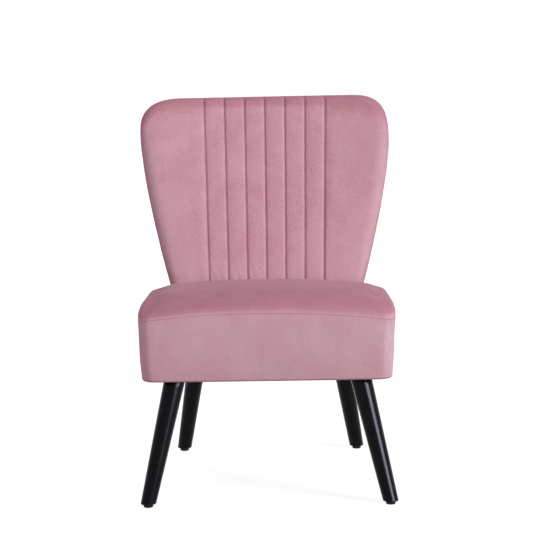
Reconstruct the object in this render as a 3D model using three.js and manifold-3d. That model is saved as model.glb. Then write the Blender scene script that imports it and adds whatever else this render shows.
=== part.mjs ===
import * as THREE from 'three';
import { mergeVertices } from 'three/addons/utils/BufferGeometryUtils.js';
import Module from 'manifold-3d';

// Scallop back chair: a boxed, sprung seat on four splayed legs and a separate flared back with six
// padded channels. Lengths are millimetres and +Z is up. The chair faces -Y, and while the pieces are
// made y is counted from the front of the seat; the finished chair is centred on its footprint.

const wasm = await Module();
wasm.setup();

// Clearances and covers
const gap = 0.3;                  // between pieces that touch on the real chair
const overrun = 4;                // how far a drill passes beyond the face that it opens
const weld = 0.001;               // points closer than this are one point
const coverThickness = 2.5;       // velvet with the wadding bonded behind it
const dustClothThickness = 1.2;

// Seat: outline, crown and band
const seatWidth = 522;
const seatDepth = 465;
const seatClearance = 261;        // floor to the underside of the seat
const seatCornerRadius = 24;
const sideDraw = 2.5;             // the cover pulls each side in by this at half depth
const frontBandHeight = 130;      // underside to seam at the front corners
const rearBandHeight = 104;       // underside to seam at the rear corners
const seamRiseAcross = 17;        // the seam climbs from each corner to the middle of the front
const seamRiseAlong = 11;         // and from each corner to the middle of the side
const crownPower = 2.4;           // higher keeps the crown flatter in its middle
const rollHeight = 17.5;          // rounded edge of the crown, above the seam
const rollWidth = 24;
const bandTaper = 4.5;            // the band runs in by this towards its bottom edge
const bandTaperHeight = 84;       // height over which it does
const bandEdgeRadius = 9;
const bandTuckWidth = 15;         // cover folded flat under the rails

// Seat frame and springs
const railHeight = 72;
const railThickness = 22;
const sidePaddingThickness = 8;
const blockMargin = 52;           // of the corner block beyond the leg's axis
const blockThickness = 38;
const blockNoseShare = 1 / 3;     // of each arm of the block that stays square
const springCount = 5;
const springMargin = 69.4;        // side rail to the outermost spring's middle line
const springHalfLoops = 11;
const springSwing = 22;           // half the width of a loop
const springWire = 3.6;
const springEnd = 9;              // wire end turned down into the rail
const springSeatDiameter = 9.8;   // hole that takes it and its bend
const springSquareness = 1.6;     // 1 is a wave, higher is squarer
const springRise = 11;            // the springs arch by this in the middle
const springArchPower = 4;        // higher keeps the outer springs as high as the middle one
const springPadThickness = 4;

// Back: outline, section and channels
const backHeight = 540;           // from the underside of the seat
const backTopOverhang = 23;       // of each side of the back beyond the seat's side, at the shoulders
const backFootInset = 72;         // and inside it, at the foot
const shoulderRise = 87;          // from where the back is widest up to its top
const shoulderReach = 94;         // the rounded shoulder's width
const flarePower = 1.38;
const shoulderPower = 2.6;        // 2 is an ellipse, higher is squarer
const backFootThickness = 56;
const backTopThickness = 70;
const reclineDegrees = 12;
const reclineStart = 150;         // height where the back leaves the vertical
const reclineBlend = 45;          // half the height of the bend
const hollowStart = 130;          // the front is flat across below this
const frontHollow = 30;           // how far the middle lies behind the wings at the top
const rearHollow = 12;
const backRoll = 22;              // radius of the front's edge all round
const rearRoll = 8;               // radius of the rear panel's edge
const channelCount = 6;
const wingFootWidth = 60;         // plain cover outside the channels, at the hollow's start
const wingTopWidth = 143.6;
const channelDepth = 3.6;         // the sewn grooves lie this far below the channels

// Back frame
const uprightWidth = 46;
const frameThickness = 22;
const footRailHeight = 66;
const lumbarRailHeight = 50;
const lumbarRailPlace = 170;      // its middle, above the underside
const webbingCount = 4;
const webbingGap = 6.6;           // between one band and the next
const webbingThickness = 1.5;
const webbingLap = 30;            // of each end on its upright

// Legs and glides
const legTopDiameter = 42;
const legFootDiameter = 30;
const legChamfer = 1.5;
const legHoleClearance = 3;       // of the dust cloth's holes round the legs
const legSeatDepth = 12;          // the leg's top stands this far up inside the frame
const frontFootInset = 13;        // foot centres inside the seat's sides
const frontFootPlace = 10;        // behind the seat's front
const frontLegInset = 71.5;       // where the leg's axis meets the underside, inside the seat's sides
const frontLegPlace = 58;         // behind the seat's front
const rearFootInset = 63;
const rearFootOverhang = 13;      // behind the seat's rear
const rearLegInset = 106;
const rearLegMargin = 61;         // in front of the seat's rear
const glideHeight = 7;
const glideDiameter = 20;
const glideDraft = 1.5;
const glideStemDiameter = 5;
const glideStemLength = 14;

// Fasteners
const legBoltDiameter = 8;
const legBoltHold = 38;           // thread in the leg
const legNutWidth = 13;
const legNutHeight = 6.5;
const legWasherDiameter = 24;
const legWasherThickness = 2;
const legBoltShow = 3;            // thread beyond the nut
const backBoltDiameter = 8;
const boltClearance = 1.2;        // of the holes that it passes
const backBoltInset = 183;        // inside the seat's sides
const backBoltLower = 24;         // above the underside
const backBoltUpper = 54;
const backBoltHeadDiameter = 20;
const backBoltHeadHeight = 4.5;
const teeNutFlangeDiameter = 20;
const teeNutFlangeThickness = 1.6;
const teeNutBarrelDiameter = 11;
const teeNutBarrelLength = 10;

// Steps along and around the forms
const cornerSteps = 3;
const depthSteps = 6;
const widthSteps = 8;
const rollSteps = 3;
const bandSteps = 3;
const paddingSteps = 2;
const crownSteps = 4;
const channelSteps = 3;
const wingSteps = 2;
const rearPanelSteps = 4;
const rearWingSteps = 4;
const rearRollSteps = 2;
const backRows = 8;
const springSteps = 4;            // for each half loop
const springSides = 5;
const boreSides = 8;
const rodSides = 12;
const legSides = 18;

// Colours from the photograph
const velvetColour = 0xc090a0;
const legColour = 0x141416;
const glideColour = 0x1c1c1e;
const woodColour = 0xc9a878;
const plyColour = 0xd2b48c;
const foamColour = 0xe9dfb8;
const feltColour = 0x8d8a86;
const webbingColour = 0xd8cfc0;
const dustClothColour = 0x1b1b1d;
const steelColour = 0xa9adb2;
const springColour = 0x5a5d61;

// Places that follow from the sizes
const halfSeatWidth = seatWidth / 2;
const halfSeatDepth = seatDepth / 2;
const railBottom = seatClearance + dustClothThickness + gap + coverThickness + 2 * gap;
const railTop = railBottom + railHeight;
const frameInsetFromBand = coverThickness + gap + sidePaddingThickness + gap + sideDraw;
const halfFrameWidth = halfSeatWidth - frameInsetFromBand;
const halfFrameDepth = halfSeatDepth - frameInsetFromBand;
const frameFront = frameInsetFromBand;
const frameRear = seatDepth - frameInsetFromBand;
const frameCornerRadius = seatCornerRadius - coverThickness - sidePaddingThickness;
const padBottom = railTop + gap + springWire + gap;
const foamBottom = padBottom + springPadThickness + gap;
const backBottom = seatClearance;
const backTop = seatClearance + backHeight;
const backFront = seatDepth + gap;
const backRowStep = backHeight / backRows;
const frameInset = rearRoll + coverThickness;
const backTopWidth = seatWidth + 2 * backTopOverhang;
const backFootWidth = seatWidth - 2 * backFootInset;
const channelTopWidth = (backTopWidth - 2 * wingTopWidth) / channelCount;
const channelFootWidth = (backFootWidth - 2 * wingFootWidth) / channelCount;
const shoulderHeight = backHeight - shoulderRise;
const shoulderBottom = backBottom + shoulderHeight;
const springSpacing = 2 * (halfFrameWidth - railThickness - springMargin) / (springCount - 1);
const webbingPitch = (shoulderHeight - lumbarRailPlace) / (webbingCount + 1);
const webbingWidth = webbingPitch - webbingGap;
const backBoltSpread = halfSeatWidth - backBoltInset;
const quarterTurn = Math.PI / 2;

function mix(from, to, share) {
  return from + (to - from) * share;
}

function point(x, y, z) {
  return new THREE.Vector3(x, y, z);
}

// Six times the volume of a closed mesh: below zero when its faces point inwards.
function signedVolume(positions, index) {
  const a = new THREE.Vector3();
  const b = new THREE.Vector3();
  const c = new THREE.Vector3();
  let sum = 0;
  for (let i = 0; i < index.length; i += 3) {
    a.fromBufferAttribute(positions, index[i]);
    b.fromBufferAttribute(positions, index[i + 1]);
    c.fromBufferAttribute(positions, index[i + 2]);
    sum += a.dot(b.cross(c));
  }
  return sum;
}

// Welds a geometry into one closed body: shared points merged, collapsed faces dropped, faces outwards.
function solid(geometry) {
  geometry.deleteAttribute('normal');
  geometry.deleteAttribute('uv');
  const welded = mergeVertices(geometry, weld);
  const source = welded.index.array;
  const index = [];
  for (let i = 0; i < source.length; i += 3) {
    const [a, b, c] = [source[i], source[i + 1], source[i + 2]];
    if (a !== b && b !== c && c !== a) {
      index.push(a, b, c);
    }
  }
  if (signedVolume(welded.attributes.position, index) < 0) {
    index.reverse();
  }
  welded.setIndex(index);
  welded.computeVertexNormals();
  return welded;
}

// A body between two matching nets of points, each a list of rows. Round nets close every row on itself.
function solidBetween(outer, inner, round = false) {
  const rows = outer.length;
  const count = outer[0].length;
  const spans = round ? count : count - 1;
  const positions = [outer, inner].flat(2).flatMap((p) => [p.x, p.y, p.z]);
  const index = [];
  const at = (layer, row, column) => (layer * rows + row) * count + (column % count);
  const quad = (a, b, c, d) => index.push(a, b, c, a, c, d);
  for (let column = 0; column < spans; column++) {
    const next = column + 1;
    for (let row = 0; row < rows - 1; row++) {
      quad(at(0, row, column), at(0, row, next), at(0, row + 1, next), at(0, row + 1, column));
      quad(at(1, row, column), at(1, row + 1, column), at(1, row + 1, next), at(1, row, next));
    }
    quad(at(0, 0, column), at(1, 0, column), at(1, 0, next), at(0, 0, next));
    const last = rows - 1;
    quad(at(0, last, column), at(0, last, next), at(1, last, next), at(1, last, column));
  }
  if (!round) {
    for (let row = 0; row < rows - 1; row++) {
      const last = count - 1;
      quad(at(0, row, 0), at(0, row + 1, 0), at(1, row + 1, 0), at(1, row, 0));
      quad(at(0, row, last), at(1, row, last), at(1, row + 1, last), at(0, row + 1, last));
    }
  }
  const geometry = new THREE.BufferGeometry();
  geometry.setAttribute('position', new THREE.Float32BufferAttribute(positions, 3));
  geometry.setIndex(index);
  return solid(geometry);
}

function toManifold(geometry) {
  const vertProperties = new Float32Array(geometry.attributes.position.array);
  const triVerts = new Uint32Array(geometry.index.array);
  return new wasm.Manifold(new wasm.Mesh({ numProp: 3, vertProperties, triVerts }));
}

function fromManifold(body) {
  const mesh = body.getMesh();
  const geometry = new THREE.BufferGeometry();
  geometry.setAttribute('position', new THREE.BufferAttribute(mesh.vertProperties, 3));
  geometry.setIndex(new THREE.BufferAttribute(mesh.triVerts, 1));
  return solid(geometry);
}

function cut(geometry, tools) {
  return fromManifold(tools.reduce((body, tool) => body.subtract(toManifold(tool)), toManifold(geometry)));
}

function join(first, second) {
  return fromManifold(toManifold(first).add(toManifold(second)));
}

function common(first, second) {
  return fromManifold(toManifold(first).intersect(toManifold(second)));
}

// A round bar or drill between two points.
function rod(from, to, diameter, sides = rodSides) {
  const axis = to.clone().sub(from);
  const bar = new THREE.CylinderGeometry(diameter / 2, diameter / 2, axis.length(), sides);
  bar.applyQuaternion(new THREE.Quaternion().setFromUnitVectors(point(0, 1, 0), axis.normalize()));
  const middle = from.clone().add(to).multiplyScalar(0.5);
  bar.translate(middle.x, middle.y, middle.z);
  return solid(bar);
}

// A body turned about Z from a profile of [radius, height] pairs that starts and ends on the axis.
function turned(profile, sides) {
  const lathe = new THREE.LatheGeometry(profile.map(([r, h]) => new THREE.Vector2(r, h)), sides);
  lathe.rotateX(quarterTurn);
  return solid(lathe);
}

// A flat outline in x and y, raised between two heights.
function raised(shape, bottom, top) {
  const geometry = new THREE.ExtrudeGeometry(shape, {
    depth: top - bottom,
    bevelEnabled: false,
    curveSegments: cornerSteps,
  });
  geometry.translate(0, 0, bottom);
  return solid(geometry);
}

function box(left, right, front, rear, bottom, top) {
  const geometry = new THREE.BoxGeometry(right - left, rear - front, top - bottom);
  geometry.translate((left + right) / 2, (front + rear) / 2, (bottom + top) / 2);
  return solid(geometry);
}

// Corners of the rounded plan outline, from the front right one round to the front left.
const cornerSigns = [[1, -1], [1, 1], [-1, 1], [-1, -1]];

// Rounded rectangle seen from above, centred on the seat, as points that go round anticlockwise.
function planRing(halfWidth, halfDepth, radius) {
  const ring = [];
  for (let corner = 0; corner < cornerSigns.length; corner++) {
    const [sx, sy] = cornerSigns[corner];
    const [nx, ny] = cornerSigns[(corner + 1) % cornerSigns.length];
    const start = (corner - 1) * quarterTurn;
    const arc = (angle, x, y) => new THREE.Vector2(
      x * (halfWidth - radius) + radius * Math.cos(angle),
      y * (halfDepth - radius) + radius * Math.sin(angle),
    );
    for (let step = 0; step <= cornerSteps; step++) {
      ring.push(arc(start + quarterTurn * step / cornerSteps, sx, sy));
    }
    const from = arc(start + quarterTurn, sx, sy);
    const to = arc(start + quarterTurn, nx, ny);
    const steps = corner % 2 === 0 ? depthSteps : widthSteps;
    for (let step = 1; step < steps; step++) {
      ring.push(from.clone().lerp(to, step / steps));
    }
  }
  return ring;
}

// Share of half the seat's depth, from -1 at the front to 1 at the rear.
function alongShare(y) {
  return THREE.MathUtils.clamp(y / halfSeatDepth, -1, 1);
}

function acrossShare(x) {
  return THREE.MathUtils.clamp(Math.abs(x) / halfSeatWidth, 0, 1);
}

// Height of the seam round the seat, and of the crown's body inside it.
function seamHeight(x, y) {
  const along = alongShare(y);
  const corner = mix(frontBandHeight, rearBandHeight, (along + 1) / 2);
  const across = seamRiseAcross * (1 - acrossShare(x) ** crownPower);
  const middle = seamRiseAlong * (1 - Math.abs(along) ** crownPower);
  return seatClearance + corner + across + middle;
}

// The springs, their pad and the foam's underside arch alike and lie flat at the rails.
function springArch(x, y) {
  const inside = halfSeatDepth - frameInsetFromBand - railThickness;
  const along = THREE.MathUtils.clamp(y / inside, -1, 1);
  const across = THREE.MathUtils.clamp(Math.abs(x) / (halfFrameWidth - railThickness), 0, 1);
  return springRise * (1 - along ** 2) * (1 - across ** springArchPower);
}

// The cover's pull at the sides, strongest at half depth and at the outline.
function drawnIn(x, y) {
  return x - Math.sign(x) * sideDraw * (1 - alongShare(y) ** 2) * acrossShare(x);
}

// One ring of a seat form: inset from the outline, at the height that the caller gives for each point.
function seatRing(inset, cornerRadius, heightAt) {
  return planRing(halfSeatWidth - inset, halfSeatDepth - inset, cornerRadius).map((p) => (
    point(drawnIn(p.x, p.y), p.y + halfSeatDepth, heightAt(p.x, p.y))
  ));
}

function seatCentre(height) {
  return planRing(0, 0, 0).map(() => point(0, halfSeatDepth, height));
}

// Rings of the crown from its seam to its middle, set below the outer face by the given offset.
function crownRings(offset) {
  const rings = [];
  const width = rollWidth - offset;
  const height = rollHeight - offset;
  for (let step = 0; step <= rollSteps; step++) {
    const angle = quarterTurn * step / rollSteps;
    const inset = offset + width * (1 - Math.cos(angle));
    const rise = height * Math.sin(angle);
    rings.push(seatRing(inset, seatCornerRadius + inset - offset, (x, y) => seamHeight(x, y) + rise));
  }
  for (let step = 1; step < crownSteps; step++) {
    const inset = mix(rollWidth, halfSeatDepth, step / crownSteps);
    const radius = seatCornerRadius + rollWidth * (1 - step / crownSteps);
    const ringRadius = Math.min(radius, halfSeatDepth - inset);
    rings.push(seatRing(inset, ringRadius, (x, y) => seamHeight(x, y) + height));
  }
  rings.push(seatCentre(seamHeight(0, 0) + height));
  return rings;
}

// Inset of the band at a height: upright above, running in towards the bottom edge.
function bandInset(height) {
  const below = (seatClearance + bandTaperHeight - height) / bandTaperHeight;
  return bandTaper * THREE.MathUtils.clamp(below, 0, 1) ** 2;
}

// Rings of the band from its seam down, round the bottom edge and flat under the rails.
function bandRings(offset) {
  const flange = seatClearance + dustClothThickness + gap + offset;
  const radius = bandEdgeRadius - offset;
  const edgeTop = flange + radius;
  const ringRadius = seatCornerRadius - offset;
  const rings = [seatRing(offset, ringRadius, (x, y) => seamHeight(x, y) - gap)];
  for (let step = 0; step <= bandSteps; step++) {
    const height = mix(seatClearance + bandTaperHeight, edgeTop, step / bandSteps);
    rings.push(seatRing(offset + bandInset(height), ringRadius, () => height));
  }
  const edgeInset = offset + bandInset(edgeTop);
  for (let step = 1; step <= rollSteps; step++) {
    const angle = quarterTurn * step / rollSteps;
    const inset = edgeInset + radius * (1 - Math.cos(angle));
    rings.push(seatRing(inset, ringRadius, () => edgeTop - radius * Math.sin(angle)));
  }
  const tuckInset = frameInsetFromBand + bandTuckWidth;
  rings.push(seatRing(tuckInset, ringRadius, () => flange));
  return rings;
}

function seatCoverTop() {
  return solidBetween(crownRings(0), crownRings(coverThickness), true);
}

function seatCoverBand(drills) {
  return cut(solidBetween(bandRings(0), bandRings(coverThickness), true), drills);
}

// The same rings at an even height, arched over the springs.
function arched(rings, height) {
  return rings.map((ring) => ring.map((p) => (
    point(p.x, p.y, height + springArch(p.x, p.y - halfSeatDepth))
  )));
}

// The foam fills the crown and stands on the spring pad.
function seatFoam() {
  const crown = crownRings(coverThickness + gap);
  return solidBetween(crown, arched(crown, foamBottom), true);
}

// Felt over the springs and the rails.
function springPad() {
  const edge = planRing(halfFrameWidth, halfFrameDepth, frameCornerRadius)
    .map((p) => point(p.x, p.y + halfSeatDepth, 0));
  const rings = [edge, ...crownRings(coverThickness + gap).slice(rollSteps)];
  return solidBetween(arched(rings, padBottom + springPadThickness), arched(rings, padBottom), true);
}

// Wadding between the rails and the band, all the way round.
function seatSidePadding(drills) {
  const top = foamBottom - gap;
  const bottom = railBottom + bandEdgeRadius;
  const outer = [];
  const inner = [];
  const offset = coverThickness + gap;
  for (let step = 0; step <= paddingSteps; step++) {
    const height = mix(bottom, top, step / paddingSteps);
    outer.push(seatRing(offset + bandInset(height), seatCornerRadius - offset, () => height));
    inner.push(planRing(halfFrameWidth + gap, halfFrameDepth + gap, frameCornerRadius)
      .map((p) => point(p.x, p.y + halfSeatDepth, height)));
  }
  return cut(solidBetween(outer, inner, true), drills);
}

// The frame's rounded outline as a flat shape.
function frameShape() {
  const outline = planRing(halfFrameWidth, halfFrameDepth, frameCornerRadius);
  return new THREE.Shape(outline.map((p) => new THREE.Vector2(p.x, p.y + halfSeatDepth)));
}

// Front and rear rails run the full width and round the frame's corners.
function crossRail(front, rear) {
  const outline = raised(frameShape(), railBottom, railTop);
  return common(outline, box(-seatWidth, seatWidth, front, rear, 0, backTop));
}

function springPlaces() {
  return Array.from({ length: springCount }, (_, i) => (i - (springCount - 1) / 2) * springSpacing);
}

// Blind seats for the springs' turned-down ends, in the middle of the rail's upper edge.
function springDrills(y) {
  const depth = springEnd + springWire;
  return springPlaces().map((x) => (
    rod(point(x, y, railTop - depth), point(x, y, railTop + overrun), springSeatDiameter, boreSides)
  ));
}

function frontRail() {
  const rail = crossRail(frameFront, frameFront + railThickness);
  return cut(rail, springDrills(frameFront + railThickness / 2));
}

function rearRail(boltDrills) {
  const rail = crossRail(frameRear - railThickness, frameRear);
  return cut(rail, [...springDrills(frameRear - railThickness / 2), ...boltDrills]);
}

function sideRail(side) {
  const outer = side * halfFrameWidth;
  const inner = side * (halfFrameWidth - railThickness);
  const front = frameFront + railThickness + gap;
  const rear = frameRear - railThickness - gap;
  return box(Math.min(outer, inner), Math.max(outer, inner), front, rear, railBottom, railTop);
}

// Where a leg stands: its foot on the floor and the point where its axis meets the seat's underside.
const frontLeg = [frontFootInset, frontFootPlace, frontLegInset, frontLegPlace];
const rearLeg = [rearFootInset, seatDepth + rearFootOverhang, rearLegInset, seatDepth - rearLegMargin];
const legPlaces = {
  front_left: [-1, ...frontLeg],
  front_right: [1, ...frontLeg],
  rear_left: [-1, ...rearLeg],
  rear_right: [1, ...rearLeg],
};

function legLine(legPlace) {
  const [side, footInset, footY, entryInset, entryY] = legPlace;
  const foot = point(side * (halfSeatWidth - footInset), footY, 0);
  const entry = point(side * (halfSeatWidth - entryInset), entryY, seatClearance);
  const axis = entry.clone().sub(foot).normalize();
  const length = (seatClearance + legSeatDepth) / axis.z;
  const head = foot.clone().addScaledVector(axis, length);
  const heading = Math.atan2(axis.y, axis.x);
  const lean = Math.acos(axis.z);
  return { foot, entry, axis, length, head, heading, lean };
}

// Triangular corner block, cut square to the leg so that the leg's top and the washer sit flat.
function cornerBlock(legPlace) {
  const side = legPlace[0];
  const line = legLine(legPlace);
  const front = line.head.y < halfSeatDepth;
  const cornerX = side * (halfFrameWidth - railThickness - gap);
  const away = front ? 1 : -1;
  const cornerY = front ? frameFront + railThickness + gap : frameRear - railThickness - gap;
  const reach = Math.abs(cornerX - line.head.x) + blockMargin;
  const back = Math.abs(cornerY - line.head.y) + blockMargin;
  const shape = new THREE.Shape();
  shape.moveTo(cornerX, cornerY);
  shape.lineTo(cornerX - side * reach, cornerY);
  shape.lineTo(cornerX - side * reach, cornerY + away * back * blockNoseShare);
  shape.lineTo(cornerX - side * reach * blockNoseShare, cornerY + away * back);
  shape.lineTo(cornerX, cornerY + away * back);
  shape.closePath();
  const prism = raised(shape, railBottom, railTop);
  const under = line.head.clone().addScaledVector(line.axis, gap);
  const over = under.clone().addScaledVector(line.axis, blockThickness);
  const slab = rod(under, over, 2 * (reach + back));
  const drillFrom = under.clone().addScaledVector(line.axis, -overrun);
  const drillTo = over.clone().addScaledVector(line.axis, overrun);
  return cut(common(prism, slab), [rod(drillFrom, drillTo, legBoltDiameter + 2 * gap)]);
}

// Route of a sinuous spring: rounded zigzag between the rails, arched, with both ends turned down.
function springRoute(x) {
  const front = frameFront + railThickness / 2;
  const rear = frameRear - railThickness / 2;
  const straight = railThickness / 2 + springWire;
  const level = railTop + gap + springWire / 2;
  const outermost = Math.abs(x) + springSwing + springWire;
  const end = (y) => [point(x, y, railTop - springEnd), point(x, y, level - springWire)];
  const zigzag = [];
  const steps = springHalfLoops * springSteps;
  for (let step = 0; step <= steps; step++) {
    const share = step / steps;
    const y = mix(front + straight, rear - straight, share);
    const swing = Math.tanh(springSquareness * Math.sin(Math.PI * springHalfLoops * share));
    zigzag.push(point(x + springSwing * swing, y, level + springArch(outermost, y - halfSeatDepth)));
  }
  return [
    ...end(front),
    point(x, front + springWire, level),
    ...zigzag,
    point(x, rear - springWire, level),
    ...end(rear).reverse(),
  ];
}

// A wire along a route, each ring of points square to the way between its neighbours.
function wire(route, diameter) {
  const across = point(1, 0, 0);
  const rings = route.map((p, i) => {
    const before = route[Math.max(i - 1, 0)];
    const after = route[Math.min(i + 1, route.length - 1)];
    const along = after.clone().sub(before).normalize();
    across.addScaledVector(along, -across.dot(along)).normalize();
    const up = along.clone().cross(across);
    return Array.from({ length: springSides }, (_, side) => {
      const angle = 2 * Math.PI * side / springSides;
      return p.clone()
        .addScaledVector(across, diameter / 2 * Math.cos(angle))
        .addScaledVector(up, diameter / 2 * Math.sin(angle));
    });
  });
  const core = route.map((p) => Array.from({ length: springSides }, () => p.clone()));
  return solidBetween(rings, core, true);
}

function seatSpring(x) {
  return wire(springRoute(x), springWire);
}

// Black cloth under the seat, open where each leg passes.
function dustCloth() {
  const cloth = raised(frameShape(), seatClearance, seatClearance + dustClothThickness);
  const holes = Object.values(legPlaces).map((legPlace) => {
    const { entry, lean } = legLine(legPlace);
    const diameter = legTopDiameter / Math.cos(lean) + legHoleClearance;
    return rod(entry.clone().setZ(seatClearance - overrun), entry.clone().setZ(railBottom), diameter);
  });
  return cut(cloth, holes);
}

// Half the back's width at a height, without the rounded shoulder.
function backHalfWidth(z) {
  const share = THREE.MathUtils.clamp((z - backBottom) / shoulderHeight, 0, 1);
  return backTopWidth / 2 - (backTopWidth - backFootWidth) / 2 * (1 - share) ** flarePower;
}

// Every back piece bends at the same heights: a curve there is straight from row to row.
function onRows(curve, z) {
  const rowPlace = (z - backBottom) / backRowStep;
  const row = Math.floor(rowPlace);
  return mix(curve(row * backRowStep), curve((row + 1) * backRowStep), rowPlace - row);
}

// Depth of the back's front plane: upright behind the seat, then a smooth bend into the recline.
function backPlane(z) {
  const slope = Math.tan(THREE.MathUtils.degToRad(reclineDegrees));
  const bend = 2 * reclineBlend;
  return backFront + onRows((height) => {
    const over = Math.max(height - reclineStart + reclineBlend, 0);
    return slope * (over < bend ? over * over / (2 * bend) : over - reclineBlend);
  }, z);
}

// Zero at the seat and below, one at the top.
function hollowShare(z) {
  return onRows((height) => Math.max(height - hollowStart, 0) / (backHeight - hollowStart), z);
}

function hollow(x, z, depth) {
  const across = Math.min(Math.abs(x) / backHalfWidth(z), 1);
  return depth * hollowShare(z) * (1 - across ** 2);
}

function backThickness(z) {
  return mix(backFootThickness, backTopThickness, hollowShare(z));
}

function frontFace(x, z) {
  return backPlane(z) + hollow(x, z, frontHollow);
}

function rearFace(x, z) {
  return backPlane(z) + backThickness(z) + hollow(x, z, rearHollow);
}

// The channels reach one step past their outer seams, counted in channels from the middle.
const channelsReach = channelCount / 2 + 1 / channelSteps;

// Width of one channel, narrowing towards the seat.
function channelWidth(z) {
  return mix(channelFootWidth, channelTopWidth, hollowShare(z));
}

// Distance below the channels' tops: full at a seam, zero over most of a channel and on the wings.
function grooveDepth(x, z) {
  const channelPlace = x / channelWidth(z);
  if (Math.abs(channelPlace) > (channelCount + 1) / 2) {
    return 0;
  }
  const fromSeam = Math.abs(channelPlace - Math.round(channelPlace)) * 2;
  return channelDepth * (1 - fromSeam) ** 2;
}

// Places along the back's width or height: edge rolls as angles, and what lies between as shares.
function rollStations(steps) {
  return Array.from({ length: steps }, (_, i) => quarterTurn * i / steps);
}

// Squeezes the outer corner of the outline into the rounded shoulder.
function shoulderSqueeze(acrossPlace, upPlace) {
  if (acrossPlace <= 0 || upPlace <= 0) {
    return 1;
  }
  const largest = Math.max(acrossPlace, upPlace);
  return largest / (acrossPlace ** shoulderPower + upPlace ** shoulderPower) ** (1 / shoulderPower);
}

// Turns a place on the unrounded outline, in x and z, into its place inside the rounded one.
function rounded(x, z, inset) {
  const rise = shoulderRise - inset;
  const reach = shoulderReach - inset;
  const inner = backHalfWidth(z) - shoulderReach;
  const acrossPlace = (Math.abs(x) - inner) / reach;
  const upPlace = (z - shoulderBottom) / rise;
  const squeeze = shoulderSqueeze(acrossPlace, upPlace);
  if (squeeze === 1) {
    return [x, z];
  }
  return [Math.sign(x) * (inner + acrossPlace * squeeze * reach), shoulderBottom + upPlace * squeeze * rise];
}

// One station across the back: how far along, and how far round the edge roll.
function acrossStations(middleSteps, sideSteps, rollCount) {
  const stations = [];
  const rolls = rollStations(rollCount);
  rolls.forEach((angle) => stations.push({ side: -1, angle }));
  for (let step = 0; step < sideSteps; step++) {
    stations.push({ side: -1, wing: step / sideSteps });
  }
  for (let step = 0; step <= middleSteps; step++) {
    stations.push({ channel: mix(-channelsReach, channelsReach, step / middleSteps) });
  }
  for (let step = sideSteps - 1; step >= 0; step--) {
    stations.push({ side: 1, wing: step / sideSteps });
  }
  rolls.reverse().forEach((angle) => stations.push({ side: 1, angle }));
  return stations;
}

// Heights of the rows between two heights, both included.
function rowHeights(bottom, top) {
  const rows = Array.from({ length: backRows }, (_, row) => backBottom + row * backRowStep);
  rows.push(shoulderBottom + shoulderRise / 2);
  return [bottom, ...rows.filter((z) => z > bottom + gap && z < top - gap), top];
}

function upStations(roll, rollCount) {
  const rolls = rollStations(rollCount);
  const stations = rolls.map((angle) => ({ side: -1, angle }));
  rowHeights(backBottom + roll, backTop - roll).forEach((height) => stations.push({ height }));
  rolls.reverse().forEach((angle) => stations.push({ side: 1, angle }));
  return stations;
}

// Place across of a station at a height, before the shoulder is rounded.
function acrossOf(station, z, inset, roll) {
  const edge = backHalfWidth(z) - inset;
  if (station.angle !== undefined) {
    return station.side * (edge - roll * (1 - Math.cos(station.angle)));
  }
  if (station.wing !== undefined) {
    return station.side * mix(edge - roll, channelWidth(z) * channelsReach, station.wing);
  }
  return station.channel * channelWidth(z);
}

function heightOf(station, inset, roll) {
  if (station.height !== undefined) {
    return station.height;
  }
  const drop = inset + roll * (1 - Math.cos(station.angle));
  return station.side > 0 ? backTop - drop : backBottom + drop;
}

// How far a pair of stations lies round the roll: the depth left below the face.
function rollDrop(first, second, roll) {
  const angle = Math.min(first.angle ?? quarterTurn, second.angle ?? quarterTurn);
  return roll * (1 - Math.sin(angle));
}

// The padded front of the back, as a net: offset moves it in from the outer face.
function backFrontNet(offset) {
  const roll = backRoll - offset;
  const across = acrossStations(2 * channelsReach * channelSteps, wingSteps, rollSteps);
  const up = upStations(backRoll, rollSteps);
  return up.map((row) => across.map((column) => {
    const flatZ = heightOf(row, offset, roll);
    const flatX = acrossOf(column, flatZ, offset, roll);
    const [x, z] = rounded(flatX, flatZ, offset);
    const groove = grooveDepth(flatX, flatZ);
    const top = row.side > 0 ? quarterTurn - row.angle : 0;
    const y = frontFace(x, z) + offset + rollDrop(column, row, roll) + groove * Math.cos(top);
    return point(x, y, z - groove * Math.sin(top));
  }));
}

// Carries a net's edge backwards all round, to the given distance from the rear face.
function withSkirt(net, rearOffset) {
  const back = (p) => point(p.x, rearFace(p.x, p.z) - rearOffset, p.z);
  const wide = net.map((row) => [back(row[0]), ...row, back(row[row.length - 1])]);
  const first = wide[0].map(back);
  const last = wide[wide.length - 1].map(back);
  return [first, ...wide, last];
}

function backFrontCover(drills) {
  const end = rearRoll + gap;
  const outer = withSkirt(backFrontNet(0), end);
  const inner = withSkirt(backFrontNet(coverThickness), end);
  return cut(solidBetween(outer, inner), drills);
}

// Front of the back's frame, which the webbing crosses.
function frameFace(x, z) {
  return rearFace(x, z) - coverThickness - 2 * gap - frameThickness;
}

function backFoam(drills) {
  const offset = coverThickness + gap;
  const front = backFrontNet(offset);
  const rear = front.map((row) => row.map((p) => (
    point(p.x, frameFace(p.x, p.z) - gap - webbingThickness - gap, p.z)
  )));
  return cut(solidBetween(front, rear), drills);
}

// The plain panel that closes the rear, its edge rolled forward to meet the front cover.
function backRearNet(offset) {
  const roll = rearRoll - offset;
  const across = acrossStations(rearPanelSteps, rearWingSteps, rearRollSteps);
  const up = upStations(rearRoll, rearRollSteps);
  return up.map((row) => across.map((column) => {
    const flatZ = heightOf(row, offset, roll);
    const [x, z] = rounded(acrossOf(column, flatZ, offset, roll), flatZ, offset);
    return point(x, rearFace(x, z) - offset - rollDrop(column, row, roll), z);
  }));
}

function backRearCover() {
  return solidBetween(backRearNet(0), backRearNet(coverThickness));
}

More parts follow.
